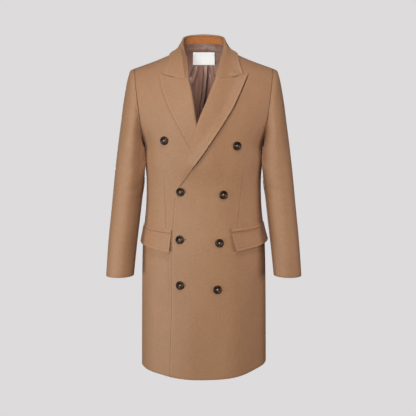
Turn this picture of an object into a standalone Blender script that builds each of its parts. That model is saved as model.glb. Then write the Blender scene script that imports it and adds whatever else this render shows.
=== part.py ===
"""Double-breasted overcoat in wool cloth, filled out as if worn, with nobody in it.

Metres, +Z up. The wearer faces -Y and the wearer's left is +X. The origin is between
the two points where the shoulder seams meet the neck, where a wearer carries the coat.
Each piece that a tailor would cut is a wall of cloth laid on one base form.
"""

import math
from collections import namedtuple

import bmesh
import bpy
from mathutils import Vector

FRONT, BACK = -1, 1    # which way the form faces along Y
LEFT, RIGHT = 1, -1    # the wearer's sides along X

# Cloth and clearances
WALL = 0.0022          # coat cloth
LINING_WALL = 0.0010   # lining, welt and label cloth
GAP = 0.0003           # between pieces at a seam
LIE = 0.0011           # between a piece and the panel that it lies on
LINING_LIE = 0.0031    # between the lining and the back
SHARP_DEGREES = 50     # edges that turn more than this are shaded sharp

# Main heights and the armhole
ARM_Z = -0.300         # armpit
HEM_Z = -1.030         # lowest point of the hem
TIP_X, TIP_Z = 0.2175, -0.0605   # outer end of the shoulder seam
ARMHOLE_HALF_FRONT = 0.076
ARMHOLE_HALF_BACK = 0.071
SIDE_HEM_Z = {LEFT: -1.004, RIGHT: -1.014}
BACK_HEM_Z = -1.020

# Neck
NECK_HALF_WIDTH = 0.075
NECK_BACK_DEPTH = 0.063

# The body, one row for each section
Body = namedtuple("Body", "z half_width front_depth back_depth square")
BODY = (
    Body(-0.240, 0.1885, 0.1300, 0.1270, 2.35),
    Body(-0.300, 0.1885, 0.1300, 0.1270, 2.35),
    Body(-0.360, 0.1868, 0.1280, 0.1230, 2.35),
    Body(-0.415, 0.1834, 0.1240, 0.1150, 2.30),
    Body(-0.455, 0.1838, 0.1225, 0.1110, 2.30),
    Body(-0.500, 0.1860, 0.1235, 0.1130, 2.30),
    Body(-0.550, 0.1912, 0.1270, 0.1200, 2.28),
    Body(-0.600, 0.1965, 0.1310, 0.1280, 2.25),
    Body(-0.700, 0.2000, 0.1360, 0.1340, 2.25),
    Body(-0.850, 0.2022, 0.1420, 0.1375, 2.25),
    Body(-1.040, 0.2042, 0.1500, 0.1400, 2.25),
)

# The line over the top of the shoulder, carried on under the collar
Shoulder = namedtuple("Shoulder", "x z")
SHOULDER = (
    Shoulder(-0.040, 0.043),
    Shoulder(0.000, 0.070),
    Shoulder(0.040, 0.043),
    Shoulder(NECK_HALF_WIDTH, 0.002),
    Shoulder(0.110, -0.0190),
    Shoulder(0.150, -0.0362),
    Shoulder(0.195, -0.0525),
    Shoulder(TIP_X, TIP_Z),
)

# Where each front is cut towards the middle: neck, roll line of the lapel, overlap edge
Edge = namedtuple("Edge", "z left right")
FRONT_EDGE = (
    Edge(0.002, NECK_HALF_WIDTH, -NECK_HALF_WIDTH),
    Edge(-0.030, 0.0715, -0.0725),
    Edge(-0.050, 0.0660, -0.0680),
    Edge(-0.075, 0.0530, -0.0625),
    Edge(-0.0995, 0.0385, -0.0495),
    Edge(-0.160, 0.0152, -0.0365),
    Edge(-0.225, -0.0117, -0.0260),
    Edge(-0.300, -0.0355, -0.0140),
    Edge(-0.340, -0.0480, -0.0060),
    Edge(-0.385, -0.0620, 0.0080),
    Edge(-0.420, -0.0740, 0.0230),
    Edge(-0.455, -0.0865, 0.0400),
    Edge(-0.530, -0.0935, 0.0560),
    Edge(-0.620, -0.0980, 0.0700),
    Edge(-0.775, -0.1000, 0.0800),
    Edge(-1.040, -0.1080, 0.0850),
)

# Each lapel from its seam with the collar to its lower end: the height where it leaves
# the roll line, its outer edge, the radius of the roll and how far round the roll goes
Lapel = namedtuple("Lapel", "roll_z edge_x edge_z radius wrap")
LAPELS = {
    LEFT: (
        Lapel(-0.0995, 0.1365, -0.0785, 0.0060, 90),
        Lapel(-0.135, 0.1145, -0.1290, 0.0060, 90),
        Lapel(-0.182, 0.0900, -0.1810, 0.0058, 90),
        Lapel(-0.231, 0.0620, -0.2270, 0.0056, 70),
        Lapel(-0.282, 0.0300, -0.2755, 0.0048, 45),
        Lapel(-0.334, -0.0030, -0.3240, 0.0044, 30),
        Lapel(-0.380, -0.0400, -0.3760, 0.0042, 20),
        Lapel(-0.412, -0.0620, -0.4080, 0.0042, 20),
        Lapel(-0.423, -0.0722, -0.4210, 0.0040, 20),
    ),
    RIGHT: (
        Lapel(-0.0995, -0.1385, -0.0800, 0.0060, 90),
        Lapel(-0.140, -0.1255, -0.1300, 0.0060, 90),
        Lapel(-0.170, -0.1120, -0.1690, 0.0058, 90),
        Lapel(-0.213, -0.0900, -0.2130, 0.0050, 90),
        Lapel(-0.256, -0.0660, -0.2580, 0.0042, 90),
        Lapel(-0.300, -0.0420, -0.2990, 0.0040, 90),
        Lapel(-0.335, -0.0210, -0.3330, 0.0040, 90),
    ),
}
NOTCH = 0.826          # share of the lapel's top edge that is sewn to the collar
LAPEL_FALL = (0.06, 0.14, 0.28, 0.46, 0.66, NOTCH, 1.0)
LAPEL_ROWS = 16
ROLL_STEPS = 4
ROLL_LIP = 0.006       # how far the cloth goes back inside behind the roll
ROLL_SPREAD = 0.030    # how far from the roll the cloth stands off the front
ROLL_AIM = 0.2         # share of the lapel's width that gives the way its roll points
LIP_WRAP = 45, 90      # degrees of wrap between which the cloth behind the roll appears
STATION_STEP = 0.05    # between neighbouring stations, for the way along an edge

# The collar from the middle of the back to the lapel: its fold, its outer edge on the
# coat, its swell between them, and the neck seam that it stands on
Collar = namedtuple(
    "Collar", "fold_x fold_y fold_z edge_face edge_x edge_z swell seam_face seam_x"
)
COLLAR = (
    Collar(0.0000, 0.0620, 0.0500, BACK, 0.0000, -0.0120, 0.004, BACK, 0.0000),
    Collar(0.0320, 0.0575, 0.0480, BACK, 0.0480, -0.0135, 0.003, BACK, 0.0330),
    Collar(0.0520, 0.0430, 0.0435, BACK, 0.0810, -0.0160, 0.000, BACK, 0.0560),
    Collar(0.0625, 0.0180, 0.0345, BACK, 0.0960, -0.0190, -0.002, BACK, 0.0725),
    Collar(0.0634, -0.0060, 0.0175, FRONT, 0.1045, -0.0225, -0.001, FRONT, 0.0730),
    Collar(0.0585, -0.0310, -0.0085, FRONT, 0.1075, -0.0405, 0.000, FRONT, 0.0700),
    Collar(0.0510, -0.0560, -0.0350, FRONT, 0.1120, -0.0585, 0.001, FRONT, 0.0630),
)
COLLAR_FALL = (0.08, 0.22, 0.40, 0.58, 0.76, 0.90, 1.0)
COLLAR_RADIUS = 0.0034
COLLAR_LIP = 0.001
COLLAR_WALL = 0.0018   # its cloth, pressed thin
COLLAR_LIE = 0.0014    # between the collar and the coat that it lies on
CLEAR_SOFT = 0.0012    # over which the collar eases from hanging free to lying on the coat
COLLAR_STEPS = 2       # columns of the collar for each station
GORGE_STEPS = 3        # columns between the last station and the seam with the lapel
STAND_INSIDE = 2 * WALL + LINING_LIE + LINING_WALL + 2 * LIE   # it covers the lining's top
STAND_DROP = 0.003     # how far the band reaches below the neck seam
STAND_ROWS = 3

# Each sleeve from armhole to cuff: where its inner and outer line run, half its depth
# to the front and the back, how far it swings forward, and how far its inner front is
# tucked in against the side of the body
Sleeve = namedtuple(
    "Sleeve", "inner_x inner_z outer_x outer_z front_half back_half forward tuck"
)
SLEEVE = (
    Sleeve(0.1885, ARM_Z, TIP_X, TIP_Z, ARMHOLE_HALF_FRONT, ARMHOLE_HALF_BACK, 0.000, 0.0000),
    Sleeve(0.1890, -0.3080, 0.2310, -0.0670, 0.0775, 0.0735, 0.000, 0.0000),
    Sleeve(0.1890, -0.3180, 0.2400, -0.0920, 0.0790, 0.0755, 0.000, 0.0040),
    Sleeve(0.1890, -0.3420, 0.2530, -0.1600, 0.0790, 0.0770, 0.002, 0.0115),
    Sleeve(0.1890, -0.3780, 0.2635, -0.2350, 0.0760, 0.0760, 0.004, 0.0125),
    Sleeve(0.1895, -0.4180, 0.2745, -0.3150, 0.0720, 0.0740, 0.007, 0.0040),
    Sleeve(0.1960, -0.4650, 0.2855, -0.4100, 0.0670, 0.0700, 0.013, 0.0000),
    Sleeve(0.2040, -0.5350, 0.2945, -0.5050, 0.0610, 0.0640, 0.024, 0.0000),
    Sleeve(0.2145, -0.6250, 0.3055, -0.6100, 0.0560, 0.0570, 0.038, 0.0000),
    Sleeve(0.2235, -0.7140, 0.3120, -0.7150, 0.0510, 0.0520, 0.050, 0.0000),
)
TUCK_MIDDLE, TUCK_SPREAD = 143, 16       # degrees from the outer line, towards the front
SLEEVE_SEAM = 127      # degrees from the outer line to the seams of the under sleeve
SLEEVE_SEAM_GAP = 0.0030         # radians on each side of a sleeve seam
SLEEVE_CLEAR = 0.0009  # between the sleeve and the side of the body
SLEEVE_ROWS = 20
TOP_SLEEVE_COLUMNS = 12
UNDER_SLEEVE_COLUMNS = 6

# Soft folds that hang in the panels: height is out of the cloth, or into it when negative
Fold = namedtuple("Fold", "face top_x top_z bottom_x bottom_z width height")
FOLDS = (
    Fold(FRONT, -0.130, -0.660, -0.136, -1.040, 0.026, -0.0045),
    Fold(FRONT, -0.050, -0.780, -0.060, -1.040, 0.044, 0.0025),
    Fold(FRONT, 0.014, -0.760, 0.006, -1.040, 0.040, -0.0030),
    Fold(FRONT, 0.112, -0.640, 0.106, -1.040, 0.040, 0.0030),
    Fold(FRONT, 0.162, -0.640, 0.164, -1.040, 0.026, -0.0035),
    Fold(BACK, -0.060, -0.560, -0.075, -1.040, 0.034, 0.0045),
    Fold(BACK, -0.130, -0.560, -0.140, -1.040, 0.030, -0.0040),
    Fold(BACK, 0.064, -0.580, 0.078, -1.040, 0.034, 0.0045),
    Fold(BACK, 0.132, -0.540, 0.140, -1.040, 0.030, -0.0040),
)
FOLD_START = 0.45      # share of a fold's length over which it grows
FOLDS_FADE = 0.86, 0.97  # shares of the way to the side seam between which folds die out

# The left front lies over the right one and over the hidden end of the right lapel
OVERLAP = WALL + 0.0018
OVERLAP_TOP, OVERLAP_FULL = -0.100, -0.215
OVERLAP_PAST, OVERLAP_FADE = 0.006, 0.050
OVER_LAPEL = 0.0064
OVER_LAPEL_TOP, OVER_LAPEL_FULL = -0.110, -0.225
OVER_LAPEL_END, OVER_LAPEL_GONE = -0.345, -0.425
OVER_LAPEL_INNER, OVER_LAPEL_OUTER = 0.020, 0.075

FRONT_COLUMNS, BACK_ROWS_LOW, FRONT_ROWS_LOW, ROWS_HIGH = 15, 18, 23, 9
BACK_SHARES = (0, 0.09, 0.18, 0.26, 0.315, 0.345, 0.48, 0.61, 0.73, 0.83, 0.91, 0.97, 1)
NECK_COLUMN = 5        # the column of the back that ends where the neck meets the shoulder

# Pocket flaps, with how far each lower corner stands off, and the welts above them
Flap = namedtuple(
    "Flap", "inner_top_z outer_top_z inner_top_x inner_low_x inner_low_z outer_low_z proud_inner proud_outer"
)
FLAPS = {
    LEFT: Flap(-0.5645, -0.5535, 0.0840, 0.0990, -0.6270, -0.6035, 0.0035, 0.0075),
    RIGHT: Flap(-0.5695, -0.5610, 0.1000, 0.1035, -0.6300, -0.6095, 0.0070, 0.0045),
}
FLAP_END = 0.955       # share of the way round to the side seam
FLAP_COLUMNS, FLAP_ROWS = 9, 4
FLAP_BEND = 1.5        # power of the curve by which it leaves the front
WELT_HEIGHT = 0.0080

# Buttons, one row each; all but the first on the right lie on the left front
BUTTON_RADIUS = 0.0135
BUTTON_SEAT = 0.0003     # between the back of a button and the cloth
BUTTON_SPAN = 0.006    # of cloth to each side that sets how a button tilts
BUTTON_STEPS = 16
Button = namedtuple("Button", "name front x z")
BUTTONS = (
    Button("button_right_1", RIGHT, -0.1205, -0.2830),
    Button("button_right_2", LEFT, -0.0705, -0.4400),
    Button("button_right_3", LEFT, -0.0730, -0.5885),
    Button("button_right_4", LEFT, -0.0725, -0.7305),
    Button("button_left_1", LEFT, 0.1020, -0.2985),
    Button("button_left_2", LEFT, 0.0600, -0.4490),
    Button("button_left_3", LEFT, 0.0480, -0.5980),
    Button("button_left_4", LEFT, 0.0420, -0.7430),
)
# The turned half profile of a button, in shares of its radius, top to bottom
BUTTON_PROFILE = (
    (0.00, 0.19), (0.56, 0.18), (0.72, 0.29), (0.88, 0.31), (1.00, 0.19), (0.90, 0.04), (0.00, 0.00)
)

# The lining of the back, seen through the neck, with its pleat and wrinkles
PLEAT_SHARES = (0.02, 0.05)       # columns of its own, beside those of the back
LINING_SHARES = sorted((*BACK_SHARES[:-2], *PLEAT_SHARES))
LINING_FIRST_ROW = BACK_ROWS_LOW - 4     # a half lining: it ends free at the waist
LINING_TOP_DROP = 0.15 # how far it ends below the last row of the back, in rows
Wrinkle = namedtuple("Wrinkle", "top_x top_z bottom_x bottom_z width height")
LINING_WRINKLES = (
    Wrinkle(0.003, -0.052, 0.002, -0.420, 0.007, 0.0060),
    Wrinkle(0.016, -0.050, 0.040, -0.150, 0.010, 0.0035),
    Wrinkle(-0.028, -0.050, -0.054, -0.150, 0.012, 0.0035),
    Wrinkle(-0.022, -0.110, -0.026, -0.330, 0.010, 0.0030),
)
WRINKLE_FADE = 0.05    # over which a wrinkle dies out at its lower end
LABEL_HALF_WIDTH, LABEL_TOP_Z, LABEL_LOW_Z = 0.0375, -0.004, -0.044
LABEL_COLUMNS, LABEL_ROWS = 6, 2

# Finish of each cloth and of the horn: colour, roughness, metallic
Finish = namedtuple("Finish", "colour roughness metallic")
FINISHES = {
    "camel_wool": Finish((0.402, 0.216, 0.114), 0.90, 0.0),
    "lining_satin": Finish((0.181, 0.093, 0.072), 0.45, 0.0),
    "collar_band": Finish((0.515, 0.162, 0.032), 0.85, 0.0),
    "label_cloth": Finish((0.850, 0.830, 0.800), 0.70, 0.0),
    "dark_horn": Finish((0.020, 0.013, 0.010), 0.30, 0.0),
}


def curve(rows, key, column):
    """A smooth function through one column of a table, with no swing past its values."""
    knots = sorted((getattr(row, key), getattr(row, column)) for row in rows)
    steps = [(b[1] - a[1]) / (b[0] - a[0]) for a, b in zip(knots, knots[1:])]
    inner = [2 * a * b / (a + b) if a * b > 0 else 0.0 for a, b in zip(steps, steps[1:])]
    slopes = [steps[0], *inner, steps[-1]]

    def value(at):
        at = min(max(at, knots[0][0]), knots[-1][0])
        i = next(i for i in range(len(steps)) if at <= knots[i + 1][0])
        span = knots[i + 1][0] - knots[i][0]
        t = (at - knots[i][0]) / span
        start = knots[i][1] * (1 + 2 * t) + slopes[i] * span * t
        end = knots[i + 1][1] * (3 - 2 * t) - slopes[i + 1] * span * (1 - t)
        return start * (1 - t) ** 2 + end * t ** 2

    return value


def numbered(rows):
    """The rows of a table with a column that counts them, as the key for curve."""
    Numbered = namedtuple("Numbered", ("number", *rows[0]._fields))
    return [Numbered(i, *row) for i, row in enumerate(rows)]


def curves(rows, key):
    """A smooth function for every column of a table, by the column's name."""
    return {name: curve(rows, key, name) for name in rows[0]._fields if name != key}


def point_curve(points):
    """A smooth function through a list of points, which counts along them."""
    Spot = namedtuple("Spot", "number x y z")
    along = curves([Spot(i, *point) for i, point in enumerate(points)], "number")
    return lambda at: Vector((along["x"](at), along["y"](at), along["z"](at)))


def ramp(value, start, end):
    """0 at start, 1 at end, smooth between."""
    t = min(max((value - start) / (end - start), 0.0), 1.0)
    return t * t * (3 - 2 * t)


def mix(a, b, share):
    return a + (b - a) * share


def signed_power(base, power):
    return math.copysign(abs(base) ** power, base)


body = curves(BODY, "z")
shoulder_line = curve(SHOULDER, "x", "z")
front_edges = {LEFT: curve(FRONT_EDGE, "z", "left"), RIGHT: curve(FRONT_EDGE, "z", "right")}
PIT_X = body["half_width"](ARM_Z)


def shoulder_z(x):
    return shoulder_line(abs(x))


def armhole_x(rise):
    return mix(PIT_X, TIP_X, rise)


def armhole_normal(side):
    """Square to the flat loop of an armhole, towards the sleeve."""
    return Vector((side * (TIP_Z - ARM_Z), 0, PIT_X - TIP_X)).normalized()


def form_width(face, rise):
    """Half width of the section that meets the armhole at this share of its height."""
    half = ARMHOLE_HALF_FRONT if face == FRONT else ARMHOLE_HALF_BACK
    depth = form_depth(face, ARM_Z)
    square = body["square"](ARM_Z)
    reach = 2 * half / depth * math.sqrt(rise / (1 + rise))
    return armhole_x(rise) / (1 - reach ** square) ** (1 / square)


def form_depth(face, z):
    return body["front_depth"](z) if face == FRONT else body["back_depth"](z)


def form(face, angle, level):
    """A point of the base form. The angle is 0 at the left side seam and half pi in the
    middle; the level is -1 at the lowest hem, 0 at the armpit and 1 on the shoulder seam."""
    turn = max(level, 0) * math.pi / 2
    rise = math.sin(turn)
    low_z = ARM_Z + min(level, 0) * (ARM_Z - HEM_Z)
    width = form_width(face, rise) if level > 0 else body["half_width"](low_z)
    bend = 2 / body["square"](low_z)
    x = width * signed_power(math.cos(angle), bend)
    y = face * form_depth(face, low_z) * math.cos(turn) * signed_power(math.sin(angle), bend)
    return Vector((x, y, low_z + rise * (shoulder_z(x) - ARM_Z)))


def surface(face, x, z, step=0.001):
    """The point of the base form at x and z, and the way out of the cloth there."""
    if z > ARM_Z:
        rise = min((z - ARM_Z) / (shoulder_z(x) - ARM_Z), 1.0)
        level = math.asin(rise) * 2 / math.pi
        width = form_width(face, rise)
    else:
        level = (z - ARM_Z) / (ARM_Z - HEM_Z)
        width = body["half_width"](z)
    share = min(max(x / width, -1.0), 1.0)
    angle = math.acos(signed_power(share, body["square"](min(z, ARM_Z)) / 2))
    across = form(face, angle + step, level) - form(face, angle - step, level)
    upward = form(face, angle, level + step) - form(face, angle, level - step)
    return form(face, angle, level), face * across.cross(upward).normalized()


def fold_height(top_x, top_z, bottom_x, bottom_z, width, x, z):
    """The height of a soft fold at x and z, as a share of its full height."""
    along = (z - top_z) / (bottom_z - top_z)
    middle = mix(top_x, bottom_x, along)
    return ramp(along, 0, FOLD_START) * math.exp(-(((x - middle) / width) ** 2))


def panel_lift(face, side, x, z):
    """How far a front or back panel stands off the base form: its folds, and on the left
    front the layers under it. It is nothing at the seams."""
    lift = 0.0
    for fold in FOLDS:
        if fold.face == face:
            lift += fold.height * fold_height(*fold[1:6], x, z)
    lift *= 1 - ramp(abs(x) / body["half_width"](z), *FOLDS_FADE)
    if (face, side) == (FRONT, LEFT):
        past = front_edges[RIGHT](z) + OVERLAP_PAST
        under = ramp(z, OVERLAP_TOP, OVERLAP_FULL) * (1 - ramp(x, past, past + OVERLAP_FADE))
        lapel = ramp(z, OVER_LAPEL_TOP, OVER_LAPEL_FULL)
        lapel *= 1 - ramp(z, OVER_LAPEL_END, OVER_LAPEL_GONE)
        lapel *= 1 - ramp(x, OVER_LAPEL_INNER, OVER_LAPEL_OUTER)
        lift += OVERLAP * under + OVER_LAPEL * lapel
    return lift


def on_front(side, x, z, height):
    """A point this far out of a finished front, and the way out of the cloth there."""
    point, outward = surface(FRONT, x, z)
    return point + outward * (panel_lift(FRONT, side, x, z) + height), outward


def back_neck_level(x):
    """The level of the neckline on the back, 1 beyond the end of the shoulder seam."""
    if abs(x) >= NECK_HALF_WIDTH:
        return 1.0
    depth = NECK_BACK_DEPTH * math.sqrt(1 - (x / NECK_HALF_WIDTH) ** 2)
    width = form_width(BACK, 1.0)
    square = body["square"](ARM_Z)
    full = form_depth(BACK, ARM_Z) * (1 - abs(x / width) ** square) ** (1 / square)
    return math.acos(depth / full) * 2 / math.pi


def new_material(name):
    finish = FINISHES[name]
    material = bpy.data.materials.new(name)
    material.use_nodes = True
    shader = material.node_tree.nodes["Principled BSDF"]
    shader.inputs["Base Color"].default_value = (*finish.colour, 1)
    shader.inputs["Roughness"].default_value = finish.roughness
    shader.inputs["Metallic"].default_value = finish.metallic
    material.diffuse_color = (*finish.colour, 1)
    return material


def new_object(name, mesh_data, finish):
    mesh_data.materials.append(new_material(finish))
    made = bpy.data.objects.new(name, mesh_data)
    coat.objects.link(made)
    made.parent = carrier
    return made


def wall(name, columns, rows, place, finish="camel_wool"):
    """A sheet of cloth with both faces and its cut edges, as a grid of columns by rows.
    place(column, row) gives a point on one face and the way through to the other."""
    mesh = bmesh.new()
    bmesh.ops.create_grid(mesh, x_segments=columns, y_segments=rows, size=1)
    doubled = bmesh.ops.extrude_face_region(mesh, geom=mesh.faces[:], use_keep_orig=True)
    far = {part for part in doubled["geom"] if isinstance(part, bmesh.types.BMVert)}
    for vert in mesh.verts:
        column = round((vert.co.x + 1) / 2 * columns)
        row = round((vert.co.y + 1) / 2 * rows)
        point, through = place(column, row)
        vert.co = point + through if vert in far else point
    bmesh.ops.triangulate(mesh, faces=mesh.faces[:], quad_method="SHORT_EDGE")
    bmesh.ops.recalc_face_normals(mesh, faces=mesh.faces[:])
    data = bpy.data.meshes.new(name)
    mesh.to_mesh(data)
    mesh.free()
    data.shade_smooth()
    data.set_sharp_from_angle(angle=math.radians(SHARP_DEGREES))
    return new_object(name, data, finish)


def front_panel(name, side):
    """One front, from its cut edge in the middle to the side seam and the armhole."""
    top = FRONT_ROWS_LOW + ROWS_HIGH

    def place(column, row):
        share = math.sin(column / FRONT_COLUMNS * math.pi / 2)
        if row <= FRONT_ROWS_LOW:
            down = 1 - row / FRONT_ROWS_LOW
            z = mix(ARM_Z, HEM_Z, down)
            for _ in range(3):
                far = side * body["half_width"](z)
                x = mix(front_edges[side](z), far, share)
                z = mix(ARM_Z, mix(HEM_Z, SIDE_HEM_Z[side], (x / far) ** 2), down)
        else:
            rise = math.sin((row - FRONT_ROWS_LOW) / ROWS_HIGH * math.pi / 2)
            far = side * armhole_x(rise)
            near = side * NECK_HALF_WIDTH
            for _ in range(12):
                near = front_edges[side](mix(ARM_Z, shoulder_z(near), rise))
            x = mix(near, far, share)
            z = mix(ARM_Z, shoulder_z(x), rise)
        point, outward = on_front(side, x, z, 0)
        if column == FRONT_COLUMNS and FRONT_ROWS_LOW < row < top:
            point = point - armhole_normal(side) * GAP / 2
        elif column == FRONT_COLUMNS or row == top:
            point = point - Vector((0, GAP / 2, 0))
        return point, outward * -WALL

    return wall(name, FRONT_COLUMNS, top, place)


def back_spot(side, share, row):
    """x and z on the back at a share of the way from the middle to the side, on a row that
    counts from the hem; a row may fall between two."""
    if row <= BACK_ROWS_LOW:
        hem_z = mix(BACK_HEM_Z, SIDE_HEM_Z[side], share ** 2)
        z = mix(hem_z, ARM_Z, row / BACK_ROWS_LOW)
        return side * body["half_width"](z) * share, z
    up = (row - BACK_ROWS_LOW) / ROWS_HIGH
    rise = math.sin(up * back_neck_level(TIP_X * share) * math.pi / 2)
    x = side * armhole_x(rise) * share
    return x, mix(ARM_Z, shoulder_z(x), rise)


def on_back(x, z, height):
    """A point this far out of the finished back, and the way out of the cloth there."""
    point, outward = surface(BACK, x, z)
    return point + outward * (panel_lift(BACK, LEFT, x, z) + height), outward


def back_panel(name, side):
    """One half of the back, from the middle seam to the side seam and the armhole."""
    last, top = len(BACK_SHARES) - 1, BACK_ROWS_LOW + ROWS_HIGH

    def place(column, row):
        point, outward = on_back(*back_spot(side, BACK_SHARES[column], row), 0)
        if column == 0:
            point.x = side * GAP / 2
        if column == last and BACK_ROWS_LOW < row < top:
            point = point - armhole_normal(side) * GAP / 2
        elif column == last or (row == top and column >= NECK_COLUMN):
            point = point + Vector((0, GAP / 2, 0))
        return point, outward * -WALL

    return wall(name, last, top, place)


sleeve_line = curves(numbered(SLEEVE), "number")


def sleeve_point(side, angle, station):
    """A point of a sleeve: the angle is 0 on its outer line and turns to the front."""
    at = {name: line(station) for name, line in sleeve_line.items()}
    clear = body["half_width"](at["inner_z"]) + SLEEVE_CLEAR
    inner_x = max(at["inner_x"], clear) if station > 0 else at["inner_x"]
    half = at["front_half"] if math.sin(angle) > 0 else at["back_half"]
    outer = (1 + math.cos(angle)) / 2
    off_tuck = (math.degrees(angle) - TUCK_MIDDLE) / TUCK_SPREAD
    x = mix(inner_x, at["outer_x"], outer) - at["tuck"] * math.exp(-off_tuck ** 2)
    z = mix(at["inner_z"], at["outer_z"], outer)
    return Vector((side * x, -at["forward"] - half * math.sin(angle), z))


def sleeve_piece(name, side, first, last, columns, step=0.004):
    """The top or under sleeve, between two seams given by their angles."""
    inset = math.copysign(SLEEVE_SEAM_GAP, last - first)

    def place(column, row):
        angle = mix(first + inset, last - inset, column / columns)
        station = row / SLEEVE_ROWS * (len(SLEEVE) - 1)
        point = sleeve_point(side, angle, station)
        around = sleeve_point(side, angle + step, station) - sleeve_point(side, angle - step, station)
        along = sleeve_point(side, angle, station + step)
        along = along - sleeve_point(side, angle, max(station - step, 0))
        inward = -side * around.cross(along).normalized()
        if row == 0:
            normal = armhole_normal(side)
            point = point + normal * GAP / 2
            inward = (inward - normal * min(inward.dot(normal), 0)).normalized()
        return point, inward * WALL

    return wall(name, columns, SLEEVE_ROWS, place)


def rolled_edge(centre, crest, outward, radius, wrap, lip):
    """Points round a folded edge from inside the coat to its outer face, each with the way
    through the cloth. The crest is where the fold points."""
    turns = [math.radians(mix(-wrap, 90, i / ROLL_STEPS)) for i in range(ROLL_STEPS + 1)]
    ways = [crest * math.cos(turn) + outward * math.sin(turn) for turn in turns]
    points = [(centre + way * radius, way * -WALL) for way in ways]
    inside, through = points[0]
    return [(inside - crest * lip, through), *points]


def lapel_profile(side, station, reach=1.0):
    """One lapel from behind its roll line to its outer edge, or to a share of it."""
    at = {name: line(station) for name, line in lapel_lines[side].items()}
    roll_x, roll_z = front_edges[side](at["roll_z"]), at["roll_z"]
    root, outward = on_front(side, roll_x, roll_z, -WALL / 2)
    aim_x, aim_z = mix(roll_x, at["edge_x"], ROLL_AIM), mix(roll_z, at["edge_z"], ROLL_AIM)
    crest = root - on_front(side, aim_x, aim_z, -WALL / 2)[0]
    crest = (crest - outward * crest.dot(outward)).normalized()
    lip = ROLL_LIP * ramp(at["wrap"], *LIP_WRAP)
    profile = rolled_edge(root, crest, outward, at["radius"], at["wrap"], lip)
    stand_off = at["radius"] - WALL / 2 - LIE - WALL
    for share in LAPEL_FALL:
        x = mix(roll_x, at["edge_x"], share * reach)
        z = mix(roll_z, at["edge_z"], share * reach)
        away = math.hypot(x - roll_x, z - roll_z)
        height = LIE + WALL + stand_off * math.exp(-((away / ROLL_SPREAD) ** 2))
        point, outward = on_front(side, x, z, height)
        profile.append((point, outward * -WALL))
    return profile


lapel_lines = {side: curves(numbered(rows), "number") for side, rows in LAPELS.items()}


def lapel(name, side):
    stations = len(LAPELS[side]) - 1
    profiles = [lapel_profile(side, row / LAPEL_ROWS * stations) for row in range(LAPEL_ROWS + 1)]
    return wall(name, len(profiles[0]) - 1, LAPEL_ROWS, lambda column, row: profiles[row][column])


def gorge_profile(side):
    """The front end of the collar, just clear of the lapel's top edge."""
    first, second = lapel_profile(side, 0, NOTCH), lapel_profile(side, STATION_STEP, NOTCH)
    apart = (first[1][0] - second[1][0]).normalized() * GAP
    return [(point + apart, through) for point, through in first]


def clear_of_coat(point, height):
    """The point, moved out where it would lie less than this far off the coat."""
    face = FRONT if point.y < 0 else BACK
    side = LEFT if point.x > 0 else RIGHT
    for _ in range(2):
        z = min(point.z, shoulder_z(point.x))
        base, outward = surface(face, point.x, z)
        above = (point - base).dot(outward) - panel_lift(face, side, point.x, z)
        short = height - above
        point = point + outward * (short + math.hypot(short, CLEAR_SOFT)) / 2
    return point


def neck_seam(face, side, x):
    """The coat's neckline at x, and the way out of the cloth there."""
    if face == BACK:
        rise = math.sin(back_neck_level(x) * math.pi / 2)
        return surface(BACK, side * x, mix(ARM_Z, shoulder_z(x), rise))
    low, high = LAPELS[side][0].roll_z, FRONT_EDGE[0].z
    for _ in range(30):
        z = (low + high) / 2
        low, high = (z, high) if abs(front_edges[side](z)) < x else (low, z)
    return on_front(side, side * x, z, 0)


def collar_frames():
    """The collar at each of its columns, from the right lapel round the back to the left
    lapel: its fold, outer edge, swell and neck seam, and the ways that they face."""
    spots = {name: [] for name in ("fold", "edge", "edge_way", "seam", "seam_way", "swell")}
    around = [(RIGHT, row) for row in reversed(COLLAR)] + [(LEFT, row) for row in COLLAR[1:]]
    for side, row in around:
        edge, edge_way = surface(row.edge_face, side * row.edge_x, row.edge_z)
        seam, seam_way = neck_seam(row.seam_face, side, row.seam_x)
        spots["fold"].append(Vector((side * row.fold_x, row.fold_y, row.fold_z)))
        spots["edge"].append(edge + edge_way * (COLLAR_LIE + COLLAR_WALL))
        spots["edge_way"].append(edge_way)
        spots["seam"].append(seam - seam_way * STAND_INSIDE)
        spots["seam_way"].append(seam_way)
        spots["swell"].append(Vector((row.swell, 0, 0)))
    lines = {name: point_curve(points) for name, points in spots.items()}
    last = len(around) - 1
    frames = []
    for column in range(last * COLLAR_STEPS + 1):
        station = column / COLLAR_STEPS
        at = {name: line(station) for name, line in lines.items()}
        ahead = lines["fold"](min(station + STATION_STEP, last))
        ahead = ahead - lines["fold"](max(station - STATION_STEP, 0))
        at["crest"] = (at["fold"] - at["edge"]).normalized()
        at["outward"] = at["crest"].cross(ahead).normalized()
        frames.append(at)
    return frames


def collar_profile(at):
    """The collar at one column, from behind its fold to its outer edge."""
    centre = at["fold"] - at["crest"] * COLLAR_RADIUS
    profile = rolled_edge(centre, at["crest"], at["outward"], COLLAR_RADIUS, 90, COLLAR_LIP)
    start = profile[-1][0]
    for share in COLLAR_FALL:
        way = at["outward"].lerp(at["edge_way"], share).normalized()
        swell = at["swell"].x * 4 * share * (1 - share)
        point = start.lerp(at["edge"], share) + way * swell
        profile.append((clear_of_coat(point, COLLAR_LIE + COLLAR_WALL), way * -COLLAR_WALL))
    return profile


def towards_gorge(profile, end):
    """The columns of the collar between its last station and the seam with the lapel."""
    between = []
    for step in range(1, GORGE_STEPS):
        share = step / GORGE_STEPS
        column = []
        for i, ((point, through), (end_point, end_through)) in enumerate(zip(profile, end)):
            point = point.lerp(end_point, share)
            if i > ROLL_STEPS + 1:
                point = clear_of_coat(point, COLLAR_LIE + WALL)
            column.append((point, through.lerp(end_through, share)))
        between.append(column)
    return between


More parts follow.
